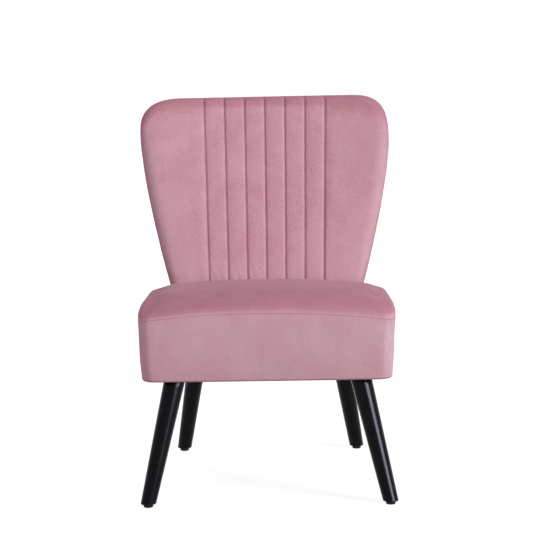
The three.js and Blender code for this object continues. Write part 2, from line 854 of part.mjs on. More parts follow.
// A member of the back's frame between two heights: xAt gives x for a share of its width.
function frameMember(bottom, top, columns, xAt, front = frameFace, thickness = frameThickness) {
  const net = (depth) => rowHeights(bottom, top).map((flatZ) => (
    Array.from({ length: columns + 1 }, (_, column) => {
      const [x, z] = rounded(xAt(column / columns, flatZ), flatZ, frameInset);
      return point(x, front(x, z) + depth, z);
    })
  ));
  return solidBetween(net(0), net(thickness));
}

const frameBottom = backBottom + frameInset;
const frameTop = backTop - frameInset;
const topRailBottom = shoulderBottom;

function upright(side) {
  const xAt = (share, z) => side * (backHalfWidth(z) - frameInset - uprightWidth * share);
  return frameMember(frameBottom, topRailBottom - gap, 1, xAt);
}

// The top rail caps both uprights and has the back's shoulders.
function backTopRail() {
  const xAt = (share, z) => mix(-1, 1, share) * (backHalfWidth(z) - frameInset);
  return frameMember(topRailBottom, frameTop, widthSteps * 2, xAt);
}

function betweenUprights(bottom, height, drills) {
  const xAt = (share, z) => mix(-1, 1, share) * (backHalfWidth(z) - frameInset - uprightWidth - gap);
  return cut(frameMember(bottom, bottom + height, widthSteps, xAt), drills);
}

function webbing(bandMiddle) {
  const front = (x, z) => frameFace(x, z) - gap - webbingThickness;
  const reach = (z) => backHalfWidth(z) - frameInset - uprightWidth + webbingLap;
  const xAt = (share, z) => mix(-1, 1, share) * reach(z);
  const half = webbingWidth / 2;
  return frameMember(bandMiddle - half, bandMiddle + half, widthSteps, xAt, front, webbingThickness);
}

// Webbing is spread evenly between the lumbar rail and the top rail.
function webbingPlaces() {
  const lumbar = backBottom + lumbarRailPlace;
  return Array.from({ length: webbingCount }, (_, i) => lumbar + (i + 1) * webbingPitch);
}

// Bolts that hold the back: from inside the seat's rear rail into tee nuts in the back's foot rail.
function backBoltPlaces() {
  const places = {};
  for (const [name, side] of [['left', -1], ['right', 1]]) {
    places[`lower_${name}`] = [side * backBoltSpread, backBottom + backBoltLower];
    places[`upper_${name}`] = [side * backBoltSpread, backBottom + backBoltUpper];
  }
  return places;
}

const boltHeadFace = frameRear - railThickness;

function backBoltDrills(diameter) {
  return Object.values(backBoltPlaces()).map(([x, z]) => (
    rod(point(x, boltHeadFace - overrun, z), point(x, rearFace(x, z), z), diameter, boreSides)
  ));
}

// A button-head bolt along y, its head inside the seat.
function backBolt(x, z) {
  const tip = frameFace(x, z) + frameThickness - teeNutFlangeThickness;
  const shank = rod(point(x, boltHeadFace - 2 * gap, z), point(x, tip, z), backBoltDiameter);
  const headRear = boltHeadFace - gap;
  const head = rod(point(x, headRear - backBoltHeadHeight, z), point(x, headRear, z), backBoltHeadDiameter);
  return join(head, shank);
}

// A tee nut: its flange on the foot rail's rear, its barrel in the rail.
function teeNut(x, z) {
  const face = frameFace(x, z) + frameThickness;
  const flange = rod(point(x, face - teeNutFlangeThickness, z), point(x, face, z), teeNutFlangeDiameter);
  const barrel = rod(point(x, face - teeNutBarrelLength, z), point(x, face, z), teeNutBarrelDiameter);
  const bore = rod(point(x, face - teeNutBarrelLength - overrun, z), point(x, face + overrun, z),
    backBoltDiameter + 2 * gap);
  return cut(join(flange, barrel), [bore]);
}

// Seats for the tee nuts, cut into the foot rail from behind.
function teeNutDrills() {
  return Object.values(backBoltPlaces()).flatMap(([x, z]) => {
    const face = frameFace(x, z) + frameThickness;
    const rear = point(x, face + overrun, z);
    const flangeSeat = face - teeNutFlangeThickness - gap;
    const barrelSeat = face - teeNutBarrelLength - gap;
    return [
      rod(point(x, flangeSeat, z), rear, teeNutFlangeDiameter + 2 * gap),
      rod(point(x, barrelSeat, z), rear, teeNutBarrelDiameter + 2 * gap),
    ];
  });
}

// A leg in its own upright plane: foot at the origin, leaning towards +x.
function legBody(line) {
  const { length, lean } = line;
  const below = legFootDiameter;
  const slope = (legTopDiameter - legFootDiameter) / 2 / length;
  const top = legTopDiameter / 2;
  const profile = [
    [0, -below],
    [legFootDiameter / 2 - slope * below, -below],
    [top - slope * legChamfer, length - legChamfer],
    [top - legChamfer, length],
    [0, length],
  ];
  const body = turned(profile, legSides);
  body.rotateY(lean);
  const reach = 2 * legTopDiameter;
  const floorCut = box(-reach, reach, -reach, reach, -reach, glideHeight);
  const axis = point(Math.sin(lean), 0, Math.cos(lean));
  const boltBore = rod(
    axis.clone().multiplyScalar(length - legBoltHold - gap),
    axis.clone().multiplyScalar(length + overrun),
    legBoltDiameter + 2 * gap,
  );
  const footCentre = glideHeight * Math.tan(lean);
  const stemBore = rod(
    point(footCentre, 0, glideHeight - overrun),
    point(footCentre, 0, glideHeight + glideStemLength + gap),
    glideStemDiameter + 2 * gap,
  );
  return cut(body, [floorCut, boltBore, stemBore]);
}

// A pressed-in glide: a slightly drafted foot with its stem up inside the leg.
function glideBody(line) {
  const radius = glideDiameter / 2;
  const top = glideHeight - gap;
  const stem = glideStemDiameter / 2;
  const glide = turned([
    [0, 0],
    [radius - glideDraft, 0],
    [radius, top],
    [stem, top],
    [stem, glideHeight + glideStemLength],
    [0, glideHeight + glideStemLength],
  ], legSides);
  glide.translate(glideHeight * Math.tan(line.lean), 0, 0);
  return glide;
}

// The leg's hanger bolt, from inside the leg through the corner block to just past the nut.
function hangerBolt(line) {
  const stack = gap + blockThickness + gap + legWasherThickness + legNutHeight + legBoltShow;
  const bolt = turned([
    [0, line.length - legBoltHold],
    [legBoltDiameter / 2, line.length - legBoltHold],
    [legBoltDiameter / 2, line.length + stack],
    [0, line.length + stack],
  ], rodSides);
  bolt.rotateY(line.lean);
  return bolt;
}

// A hexagon nut with its washer.
function hangerNut(line) {
  const seat = line.length + gap + blockThickness + gap;
  const washer = turned([
    [0, seat],
    [legWasherDiameter / 2, seat],
    [legWasherDiameter / 2, seat + legWasherThickness],
    [0, seat + legWasherThickness],
  ], rodSides);
  const corner = legNutWidth / 2 / Math.cos(Math.PI / 6);
  const top = seat + legWasherThickness + legNutHeight;
  const nut = turned([[0, seat], [corner, seat], [corner, top], [0, top]], 6);
  const bore = rod(point(0, 0, seat - overrun), point(0, 0, top + overrun), legBoltDiameter + 2 * gap);
  const body = cut(join(washer, nut), [bore]);
  body.rotateY(line.lean);
  return body;
}

function finish(color, roughness, metalness = 0) {
  return () => new THREE.MeshStandardMaterial({ color, roughness, metalness });
}

const velvet = finish(velvetColour, 0.85);
const lacquer = finish(legColour, 0.3);
const plastic = finish(glideColour, 0.55);
const wood = finish(woodColour, 0.7);
const ply = finish(plyColour, 0.7);
const foam = finish(foamColour, 0.95);
const felt = finish(feltColour, 1);
const strap = finish(webbingColour, 0.9);
const dustCover = finish(dustClothColour, 0.95);
const zincSteel = finish(steelColour, 0.4, 0.9);
const springSteel = finish(springColour, 0.45, 0.9);

function addPiece(group, name, geometry, material) {
  const mesh = new THREE.Mesh(geometry, material());
  mesh.name = name;
  group.add(mesh);
  return mesh;
}

function seatUnit() {
  const seat = new THREE.Group();
  const shankDrills = backBoltDrills(backBoltDiameter + boltClearance);
  addPiece(seat, 'seat_front_rail', frontRail(), wood);
  addPiece(seat, 'seat_rear_rail', rearRail(shankDrills), wood);
  addPiece(seat, 'seat_left_rail', sideRail(-1), wood);
  addPiece(seat, 'seat_right_rail', sideRail(1), wood);
  for (const [name, legPlace] of Object.entries(legPlaces)) {
    addPiece(seat, `corner_block_${name}`, cornerBlock(legPlace), wood);
  }
  springPlaces().forEach((x, i) => addPiece(seat, `seat_spring_${i + 1}`, seatSpring(x), springSteel));
  addPiece(seat, 'seat_spring_pad', springPad(), felt);
  addPiece(seat, 'seat_side_padding', seatSidePadding(shankDrills), felt);
  addPiece(seat, 'seat_foam', seatFoam(), foam);
  addPiece(seat, 'seat_cover_top', seatCoverTop(), velvet);
  addPiece(seat, 'seat_cover_band', seatCoverBand(shankDrills), velvet);
  addPiece(seat, 'dust_cover', dustCloth(), dustCover);
  return seat;
}

function backUnit() {
  const back = new THREE.Group();
  const shankDrills = backBoltDrills(backBoltDiameter + boltClearance);
  addPiece(back, 'back_left_upright', upright(-1), ply);
  addPiece(back, 'back_right_upright', upright(1), ply);
  addPiece(back, 'back_top_rail', backTopRail(), ply);
  const lumbarBottom = backBottom + lumbarRailPlace - lumbarRailHeight / 2;
  addPiece(back, 'back_lumbar_rail', betweenUprights(lumbarBottom, lumbarRailHeight, []), ply);
  const footDrills = [...shankDrills, ...teeNutDrills()];
  addPiece(back, 'back_foot_rail', betweenUprights(frameBottom, footRailHeight, footDrills), ply);
  webbingPlaces().forEach((z, i) => addPiece(back, `back_webbing_${i + 1}`, webbing(z), strap));
  addPiece(back, 'back_foam', backFoam(shankDrills), foam);
  addPiece(back, 'back_front_cover', backFrontCover(shankDrills), velvet);
  addPiece(back, 'back_rear_cover', backRearCover(), velvet);
  for (const [name, [x, z]] of Object.entries(backBoltPlaces())) {
    addPiece(back, `back_bolt_${name}`, backBolt(x, z), zincSteel);
    addPiece(back, `back_tee_nut_${name}`, teeNut(x, z), zincSteel);
  }
  return back;
}

function legUnit(name, legPlace) {
  const leg = new THREE.Group();
  const line = legLine(legPlace);
  leg.position.copy(line.foot);
  leg.rotation.z = line.heading;
  addPiece(leg, `leg_${name}`, legBody(line), lacquer);
  addPiece(leg, `glide_${name}`, glideBody(line), plastic);
  addPiece(leg, `hanger_bolt_${name}`, hangerBolt(line), zincSteel);
  addPiece(leg, `hanger_nut_${name}`, hangerNut(line), zincSteel);
  return leg;
}

const pieces = new THREE.Group();
pieces.add(seatUnit(), backUnit());
for (const [name, legPlace] of Object.entries(legPlaces)) {
  pieces.add(legUnit(name, legPlace));
}

// The origin lies on the floor, under the middle of the chair's box.
const bounds = new THREE.Box3().setFromObject(pieces, true);
const middle = bounds.getCenter(new THREE.Vector3());
pieces.position.set(-middle.x, -middle.y, -bounds.min.z);

const chair = new THREE.Group();
chair.name = 'scallop_back_chair';
chair.add(pieces);

export default chair;
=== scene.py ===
import math

import bpy
import numpy as np
from mathutils import Matrix, Vector, noise

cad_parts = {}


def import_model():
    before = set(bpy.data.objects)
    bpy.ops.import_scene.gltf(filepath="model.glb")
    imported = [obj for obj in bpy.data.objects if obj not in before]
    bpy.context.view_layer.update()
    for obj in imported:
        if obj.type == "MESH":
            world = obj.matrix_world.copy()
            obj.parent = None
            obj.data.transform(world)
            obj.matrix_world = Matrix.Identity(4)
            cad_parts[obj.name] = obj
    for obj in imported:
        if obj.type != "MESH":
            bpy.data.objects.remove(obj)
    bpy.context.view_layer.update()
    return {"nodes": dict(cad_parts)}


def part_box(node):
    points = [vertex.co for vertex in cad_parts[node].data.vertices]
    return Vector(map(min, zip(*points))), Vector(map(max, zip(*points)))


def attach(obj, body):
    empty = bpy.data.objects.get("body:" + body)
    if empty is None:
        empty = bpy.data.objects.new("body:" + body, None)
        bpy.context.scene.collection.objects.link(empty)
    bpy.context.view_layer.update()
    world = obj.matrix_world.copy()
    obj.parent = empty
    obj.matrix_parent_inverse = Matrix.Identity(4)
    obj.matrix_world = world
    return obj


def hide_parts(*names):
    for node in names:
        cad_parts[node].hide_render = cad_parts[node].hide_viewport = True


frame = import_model()

# Scallop back chair in dusty pink velvet. The forms are made in millimetres: x to the right, y back from
# the front of the seat, z up from the floor. metres() brings them into the frame.

MM = 0.001
SEAT_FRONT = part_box("seat_cover_top")[0].y / MM
GAP = 0.3
COVER = 2.5                      # velvet with its wadding

# Seat, as in the solids
SEAT_WIDTH, SEAT_DEPTH, CLEARANCE = 522.0, 465.0, 261.0
HALF_W, HALF_D = SEAT_WIDTH / 2, SEAT_DEPTH / 2
CORNER, SIDE_DRAW = 24.0, 0.4
FRONT_BAND, REAR_BAND = 130.0, 95.0
RISE_ACROSS, ACROSS_POWER = 17.0, 2.4
RISE_ALONG, ALONG_POWER = 16.4, 3.6
ROLL_HEIGHT, ROLL_WIDTH = 16.2, 48.0
ROLL_POWER, ROLL_POWER_SIDES, ROLL_POWER_REAR = 2.15, 2.6, 0.8   # the last is added towards the rear's corners
REAR_CORNER_LIFT = (5.0, 0.0)    # of the seam at the seat's rear corners, left and right
CROWN_DOME = 2.0
SEAM_DROP = (6.5, 10.0)          # the crown's cloth turns straight down this far to its seam, left and right
SEAM_DROP_REAR = 0.4             # share of it that is left at the rear
FRONT_ROLL, FRONT_ROLL_HEIGHT = 7.0, 23.0   # how far the front leans back, and over what height above its seam
FRONT_FALL, FRONT_FALL_REACH = (4.6, 4.2), 120.0   # how far the front falls back to its corners, left and right
CORNER_FALL, CORNER_FALL_REACH = (1.6, 0.6), 50.0  # and once more close to them
FRONT_TUCK = 1.5                 # and to its foot
BAND_TAPER, BAND_TAPER_HEIGHT, BAND_EDGE = 4.5, 84.0, 4.5
BAND_DROP = 3.0                  # of its rounded lower edge below the flange
BAND_LEAN = (1.2, 3.0)           # drawn in towards its foot, left and right
DUST_CLOTH = 1.2
FRAME_INSET = 13.6               # of the seat's rails from the band's face
TUCK = 15.0
RAIL_TOP = 337.6
FOAM_BOTTOM = 346.1
PAD_BOTTOM = 341.8
SPRING_RISE, RAIL_THICKNESS = 11.0, 22.0

# Back, as in the solids
BACK_HEIGHT = 540.0
# Left and right, as stuffed by hand
TOP_HALF, FOOT_HALF = (287.4, 280.3), (186.5, 182.0)
SHOULDER_RISE, SHOULDER_REACH, SHOULDER_POWER = (77.0, 104.0), (98.0, 92.0), (2.76, 3.2)
FLARE_POWER = 1.42
TOP_LIFT, TOP_TILT = -0.8, 1.6
FOOT_THICKNESS, TOP_THICKNESS = 56.0, 70.0
RECLINE, RECLINE_START, RECLINE_BLEND = math.radians(12), 150.0, 45.0
HOLLOW_START, FRONT_HOLLOW, REAR_HOLLOW = 130.0, 30.0, 12.0
BACK_ROLL, REAR_ROLL = 22.0, 8.0
CHANNELS, CHANNEL_FOOT, CHANNEL_TOP = 6, 43.2, 46.2
CHANNEL_MIDDLE = -2.3
SIDE_FALL, SIDE_FALL_TOP, SIDE_FALL_REACH = (6.4, 6.0), (6.4, -0.4), (62.0, 92.0)   # left and right
TOP_FALL, TOP_FALL_REACH = (0.6, 4.0), 85.0      # of the wings' front towards the top, left and right
BACK_BOTTOM, BACK_TOP = CLEARANCE, CLEARANCE + BACK_HEIGHT
BACK_FRONT = SEAT_DEPTH + GAP


def mix(a, b, t):
    return a + (b - a) * t


def metres(points):
    return (points + np.array([0.0, SEAT_FRONT, 0.0])) * MM


# ---------------------------------------------------------------- seat formulas

def along_share(y):
    return np.clip(y / HALF_D, -1, 1)


def across_share(x):
    return np.clip(np.abs(x) / HALF_W, 0, 1)


def seam_height(x, y):
    """Height of the seat's boxing seam, and of the crown's body inside it; y from the seat's middle."""
    along = along_share(y)
    corner = mix(FRONT_BAND, REAR_BAND, (along + 1) / 2)
    across = RISE_ACROSS * (1 - across_share(x) ** ACROSS_POWER)
    lift = np.where(x < 0, *REAR_CORNER_LIFT) * across_share(x) ** 4 * np.clip(along, 0, 1) ** 2
    return CLEARANCE + corner + across + lift + RISE_ALONG * (1 - np.abs(along) ** ALONG_POWER)


def sewn_height(x, y):
    """Height of the seam itself: the crown's cloth runs straight down to it from the foot of its roll."""
    drop = mix(*SEAM_DROP, (x / HALF_W + 1) / 2) * mix(1.0, SEAM_DROP_REAR, (along_share(y) + 1) / 2)
    return seam_height(x, y) - drop


def crown_height(x, y, inset):
    """Height of the crown at a distance in from the seam: a roll that flattens into a low dome."""
    share = min(inset / ROLL_WIDTH, 1)
    side = across_share(x) ** 6
    power = mix(ROLL_POWER, ROLL_POWER_SIDES, side) + ROLL_POWER_REAR * side * np.clip(along_share(y), 0, 1) ** 2
    roll = ROLL_HEIGHT * (1 - (1 - share) ** power) ** (1 / power)
    dome = CROWN_DOME * (1 - across_share(x) ** 2) * (1 - along_share(y) ** 2)
    return seam_height(x, y) + roll + dome


def drawn_in(x, y):
    return x - np.sign(x) * SIDE_DRAW * (1 - along_share(y) ** 2) * across_share(x)


def spring_arch(x, y):
    along = np.clip(y / (HALF_D - FRAME_INSET - RAIL_THICKNESS), -1, 1)
    across = np.clip(np.abs(x) / (HALF_W - FRAME_INSET - RAIL_THICKNESS), 0, 1)
    return SPRING_RISE * (1 - along ** 2) * (1 - across ** 4)


def band_inset(height):
    return BAND_TAPER * np.clip((CLEARANCE + BAND_TAPER_HEIGHT - height) / BAND_TAPER_HEIGHT, 0, 1) ** 2


CORNER_COLUMNS = 8               # of a ring's side that lie in half a corner


def plan_side(half_length, depth, radius, steps, close):
    """One side of a rounded rectangle from diagonal to diagonal, as (along, outward) pairs.

    They are evenly spaced, or closer in the corners by the share given.
    """
    arc = math.pi * radius / 4
    straight = 2 * (half_length - radius)
    total = 2 * arc + straight
    even = np.arange(steps) / steps
    turn = CORNER_COLUMNS / steps
    place = mix(even, np.interp(even, [0, turn, 1 - turn, 1], [0, arc / total, 1 - arc / total, 1]), close) * total
    inner = half_length - radius
    safe = max(radius, 1e-6)
    first = -math.pi / 4 + place / safe
    last = (place - arc - straight) / safe
    along = np.where(place < arc, -inner + radius * np.sin(first), place - arc - inner)
    along = np.where(place > arc + straight, inner + radius * np.sin(last), along)
    out = np.where(place < arc, depth - radius + radius * np.cos(first), depth)
    out = np.where(place > arc + straight, depth - radius + radius * np.cos(last), out)
    return along, out


def plan_ring(half_w, half_d, radius, nx, ny, close=0.0):
    """Rounded rectangle round the seat's middle, anticlockwise from its front left diagonal."""
    au, av = plan_side(half_w, half_d, radius, nx, close)
    bu, bv = plan_side(half_d, half_w, radius, ny, close)
    x = np.concatenate([au, bv, -au, -bv])
    y = np.concatenate([-av, bu, av, -bu])
    return x, y


def loop_of(nx, ny):
    """Indices of a grid's edge, anticlockwise from its first corner."""
    grid = np.arange((nx + 1) * (ny + 1)).reshape(ny + 1, nx + 1)
    return np.concatenate([grid[0, :-1], grid[:-1, -1], grid[-1, :0:-1], grid[:0:-1, 0]])


def pillow_faces(nx, ny, rings):
    """Quads of a grid with rings round it. The rings follow the grid in the list of points, inner ones first."""
    grid = np.arange((nx + 1) * (ny + 1)).reshape(ny + 1, nx + 1)
    quads = [np.stack([grid[:-1, :-1], grid[:-1, 1:], grid[1:, 1:], grid[1:, :-1]], -1).reshape(-1, 4)]
    inner, count = loop_of(nx, ny), 2 * (nx + ny)
    for ring in range(rings):
        outer = (nx + 1) * (ny + 1) + ring * count + np.arange(count)
        quads.append(np.stack([inner, outer, np.roll(outer, -1), np.roll(inner, -1)], -1))
        inner = outer
    return np.concatenate(quads)


def tube_faces(columns, rings, start=0):
    """Quads between closed rings of points, each ring after the one before it."""
    quads = []
    for ring in range(rings - 1):
        a = start + ring * columns + np.arange(columns)
        b = a + columns
        quads.append(np.stack([a, b, np.roll(b, -1), np.roll(a, -1)], -1))
    return np.concatenate(quads)


# ---------------------------------------------------------------- meshes

def make_piece(name, points, faces, smooth=True):
    mesh = bpy.data.meshes.new(name)
    mesh.from_pydata(metres(np.asarray(points, float)).tolist(), [], [list(map(int, f)) for f in faces])
    mesh.validate()
    if smooth:
        mesh.shade_smooth()
    piece = bpy.data.objects.new(name, mesh)
    bpy.context.scene.collection.objects.link(piece)
    return piece


def read_mesh(mesh):
    co = np.zeros(len(mesh.vertices) * 3)
    mesh.vertices.foreach_get("co", co)
    points = co.reshape(-1, 3) / MM - np.array([0.0, SEAT_FRONT, 0.0])
    quads = np.zeros(len(mesh.loops), np.int64)
    mesh.loops.foreach_get("vertex_index", quads)
    return points, quads.reshape(-1, 4)


def refined(points, faces):
    """One Catmull-Clark step of an all-quad mesh, as points and quads."""
    piece = make_piece("refining", points, faces)
    modifier = piece.modifiers.new("subdivision", "SUBSURF")
    modifier.levels = modifier.render_levels = 1
    modifier.boundary_smooth = "PRESERVE_CORNERS"
    mesh = piece.evaluated_get(bpy.context.evaluated_depsgraph_get()).to_mesh()
    result = read_mesh(mesh)
    old = piece.data
    bpy.data.objects.remove(piece)
    bpy.data.meshes.remove(old)
    return result


def normals_of(points, faces):
    faces = np.asarray(faces)
    a, b, c, d = (points[faces[:, i]] for i in range(4))
    face_normal = np.cross(c - a, d - b)
    normal = np.zeros_like(points)
    for corner in range(4):
        for axis in range(3):
            normal[:, axis] += np.bincount(faces[:, corner], face_normal[:, axis], len(points))
    return normal / np.maximum(np.linalg.norm(normal, axis=1, keepdims=True), 1e-12)


def open_edge(faces):
    """The single open edge of a quad mesh, as an ordered loop of its points."""
    faces = np.asarray(faces)
    edges = np.concatenate([faces[:, [i, (i + 1) % 4]] for i in range(4)])
    known = {(int(a), int(b)) for a, b in edges}
    following = {a: b for a, b in known if (b, a) not in known}
    loops = []
    while following:
        start = min(following)
        loop, at = [], start
        while at in following:
            loop.append(at)
            at = following.pop(at)
        loops.append(loop)
    return loops


def shell(points, faces, thickness):
    """A closed shell: the surface, its copy below it, and rims along the open edges."""
    faces = np.asarray(faces)
    inner = points - normals_of(points, faces) * thickness
    count = len(points)
    made = [faces, faces[:, ::-1] + count]
    for loop in open_edge(faces):
        a = np.array(loop)
        b = np.roll(a, -1)
        made.append(np.stack([b, a, a + count, b + count], -1))
    return np.concatenate([points, inner]), np.concatenate(made)


def unevenness(points, size, seed):
    """Smooth noise from -1 to 1 over the given size in millimetres, always the same."""
    shift = Vector((seed * 7.31, seed * 3.17, seed * 5.53))
    return np.array([noise.noise(Vector(p) / size + shift) for p in points])


def evened(moved, faces, fixed, rounds):
    """Movements averaged with those of their neighbours, so that small creases smooth out."""
    faces = np.asarray(faces)
    a, b = faces.ravel(), np.roll(faces, -1, 1).ravel()
    number = np.bincount(a, minlength=len(moved)) + np.bincount(b, minlength=len(moved))
    for _ in range(rounds):
        around = np.stack([np.bincount(a, moved[b, i], len(moved)) + np.bincount(b, moved[a, i], len(moved))
                           for i in range(3)], -1)
        moved = np.where(fixed[:, None], 0, 0.4 * moved + 0.6 * around / number[:, None])
    return moved


def inflated(points, faces, pinned, pressure, cap, slack, freedom=1.0, rounds=3, steps=20):
    """Cloth under pressure from inside, held where it is sewn. No point moves further than the cap.

    The freedom is the share of its movement that each point keeps.
    """
    piece = make_piece("inflating", points, faces)
    group = piece.vertex_groups.new(name="pinned")
    group.add([int(i) for i in np.flatnonzero(pinned)], 1.0, "REPLACE")
    modifier = piece.modifiers.new("cloth", "CLOTH")
    cloth = modifier.settings
    cloth.quality = 6
    cloth.mass = 0.3
    cloth.air_damping = 1.5
    cloth.tension_stiffness = cloth.compression_stiffness = 24
    cloth.shear_stiffness = 12
    cloth.bending_stiffness = 1.2
    cloth.vertex_group_mass = "pinned"
    cloth.shrink_min = -slack
    cloth.use_pressure = True
    cloth.uniform_pressure_force = pressure
    cloth.effector_weights.gravity = 0
    modifier.collision_settings.use_collision = False
    modifier.point_cache.frame_start, modifier.point_cache.frame_end = 1, steps
    scene = bpy.context.scene
    for step in range(1, steps + 1):
        scene.frame_set(step)
    mesh = piece.evaluated_get(bpy.context.evaluated_depsgraph_get()).to_mesh()
    swollen, _ = read_mesh(mesh)
    scene.frame_set(1)
    old = piece.data
    bpy.data.objects.remove(piece)
    bpy.data.meshes.remove(old)
    moved = evened(swollen - points, faces, pinned, rounds)
    length = np.linalg.norm(moved, axis=1, keepdims=True)
    print("inflated:", len(points), "points, moved", np.round(np.percentile(length, [50, 90, 100]), 2))
    return points + moved * np.minimum(1, cap / np.maximum(length, 1e-9)) * freedom


# ---------------------------------------------------------------- materials

def node_material(name):
    material = bpy.data.materials.new(name)
    material.use_nodes = True
    tree = material.node_tree
    return material, tree, tree.nodes["Principled BSDF"]


def add(tree, kind, **values):
    node = tree.nodes.new(kind)
    for key, value in values.items():
        if key in node.inputs:
            node.inputs[key].default_value = value
        else:
            setattr(node, key, value)
    return node


def textured(tree, coordinates, scale, detail=2.0, roughness=0.5, distortion=0.0, stretch=None):
    """Noise in the piece's own coordinates; the scale is features for each metre."""
    source = coordinates
    if stretch is not None:
        mapping = add(tree, "ShaderNodeMapping")
        mapping.inputs["Scale"].default_value = stretch
        tree.links.new(coordinates, mapping.inputs["Vector"])
        source = mapping.outputs["Vector"]
    node = add(tree, "ShaderNodeTexNoise", Scale=scale, Detail=detail, Roughness=roughness, Distortion=distortion)
    tree.links.new(source, node.inputs["Vector"])
    return node.outputs["Fac"]


def maths(tree, operation, a, b=None, c=None, clamp=False):
    node = add(tree, "ShaderNodeMath", operation=operation, use_clamp=clamp)
    for socket, value in zip(node.inputs, (a, b, c)):
        if value is None:
            continue
        if isinstance(value, (int, float)):
            socket.default_value = value
        else:
            tree.links.new(value, socket)
    return node.outputs[0]


def ramp(tree, factor, stops):
    node = add(tree, "ShaderNodeValToRGB")
    elements = node.color_ramp.elements
    while len(elements) < len(stops):
        elements.new(0.5)
    for element, (place, colour) in zip(elements, stops):
        element.position = place
        element.color = (*colour, 1)
    tree.links.new(factor, node.inputs["Fac"])
    return node.outputs["Color"]


def bump(tree, height, strength, distance, below=None):
    node = add(tree, "ShaderNodeBump", Strength=strength, Distance=distance)
    tree.links.new(height, node.inputs["Height"])
    if below is not None:
        tree.links.new(below, node.inputs["Normal"])
    return node.outputs["Normal"]


# Colour stops of the velvet: its own dusty pink, spread deeper and paler by the painted shade and painted sheen in
# velvet()
VELVET_DEEPEST = (0.354, 0.157, 0.199)
VELVET_DEEP = (0.418, 0.186, 0.234)
VELVET_MIDDLE = (0.492, 0.268, 0.320)
VELVET_PALE = (0.524, 0.325, 0.376)
VELVET_PALEST = (0.572, 0.390, 0.438)


def velvet(name, turned, most, edges):
    """Short pile, with painted shade and painted sheen by its tilt: painted deeper where it faces up, painted paler
    where it stands upright; brushed clouds and fine grain.

    Turned to the right it is painted paler and to the left deeper, a painted light from the right, by the given rate
    and at most so much.
    Where it faces fully sideways it changes by the last share, a painted shade where that share is below zero.
    """
    material, tree, shader = node_material(name)
    where = add(tree, "ShaderNodeTexCoord")
    place = where.outputs["Object"]
    facing = add(tree, "ShaderNodeSeparateXYZ")
    tree.links.new(where.outputs["Normal"], facing.inputs[0])
    level = maths(tree, "ABSOLUTE", facing.outputs["Z"])
    # painted shade and painted sheen by tilt: faces that look up are painted deeper, upright faces paler
    tilt_shade_and_sheen = ramp(tree, level, [(0.0, (0.725,) * 3), (0.2, (0.60,) * 3), (0.38, (0.37,) * 3), (0.56, (0.235,) * 3),
                              (1.0, (0.18,) * 3)])
    clouds = textured(tree, place, 13.0, 3.0, 0.55, 0.8)
    brushed = textured(tree, place, 34.0, 3.0, 0.6, 0.4, (1.0, 1.0, 0.35))
    mottle = textured(tree, place, 260.0, 2.0, 0.6)
    grain = textured(tree, place, 900.0, 2.0, 0.6)
    # painted light from the right: faces turned right are painted paler, faces turned left deeper
    lean = maths(tree, "MULTIPLY", facing.outputs["X"], turned)
    lean = maths(tree, "MAXIMUM", maths(tree, "MINIMUM", lean, most), -most)
    # painted shade on faces that look sideways, by the share given as edges
    sideways = maths(tree, "MULTIPLY_ADD", maths(tree, "ABSOLUTE", facing.outputs["X"]), 2.0, -1.0, clamp=True)
    total = maths(tree, "ADD", maths(tree, "MULTIPLY_ADD", sideways, edges, lean), tilt_shade_and_sheen)
    for pattern, reach in ((clouds, 0.15), (brushed, 0.12), (mottle, 0.23), (grain, 0.17)):
        total = maths(tree, "ADD", total, maths(tree, "MULTIPLY_ADD", pattern, 2 * reach, -reach))
    colour = ramp(tree, total, [(0.02, VELVET_DEEPEST), (0.30, VELVET_DEEP), (0.56, VELVET_MIDDLE),
                                (0.80, VELVET_PALE), (1.0, VELVET_PALEST)])
    tree.links.new(colour, shader.inputs["Base Color"])
    shader.inputs["Roughness"].default_value = 0.9
    shader.inputs["Specular IOR Level"].default_value = 0.06
    shader.inputs["Sheen Weight"].default_value = 0.11
    shader.inputs["Sheen Roughness"].default_value = 0.28
    shader.inputs["Sheen Tint"].default_value = (0.92, 0.78, 0.86, 1)
    nap = bump(tree, textured(tree, place, 90.0, 4.0, 0.6), 0.10, 0.0008)
    pile = bump(tree, grain, 0.20, 0.0004, nap)
    tree.links.new(pile, shader.inputs["Normal"])
    return material


def thread():
    material, tree, shader = node_material("rose_thread")
    place = add(tree, "ShaderNodeTexCoord").outputs["Object"]
    twist = textured(tree, place, 2600.0, 2.0)
    tree.links.new(ramp(tree, twist, [(0.3, (0.24, 0.10, 0.125)), (0.7, (0.38, 0.18, 0.22))]),
                   shader.inputs["Base Color"])
    shader.inputs["Roughness"].default_value = 0.55
    shader.inputs["Sheen Weight"].default_value = 0.3
    tree.links.new(bump(tree, twist, 0.4, 0.0002), shader.inputs["Normal"])
    return material


def lacquer():
    """Black satin lacquer over turned wood: faint grain along the leg and soft handling marks."""
    material, tree, shader = node_material("black_satin_lacquer")
    place = add(tree, "ShaderNodeTexCoord").outputs["Object"]
    grain = textured(tree, place, 420.0, 4.0, 0.6, 0.2, (1.0, 1.0, 0.05))
    wear = textured(tree, place, 38.0, 3.0, 0.6)
    tree.links.new(ramp(tree, wear, [(0.35, (0.0010, 0.0010, 0.0011)), (0.75, (0.0018, 0.0018, 0.0020))]),
                   shader.inputs["Base Color"])
    rough = maths(tree, "ADD", maths(tree, "MULTIPLY_ADD", wear, 0.10, 0.17), maths(tree, "MULTIPLY", grain, 0.03))
    tree.links.new(rough, shader.inputs["Roughness"])
    shader.inputs["Specular IOR Level"].default_value = 0.10
    shader.inputs["Specular Tint"].default_value = (0.80, 0.82, 1.0, 1)
    tree.links.new(bump(tree, grain, 0.05, 0.0002), shader.inputs["Normal"])
    return material


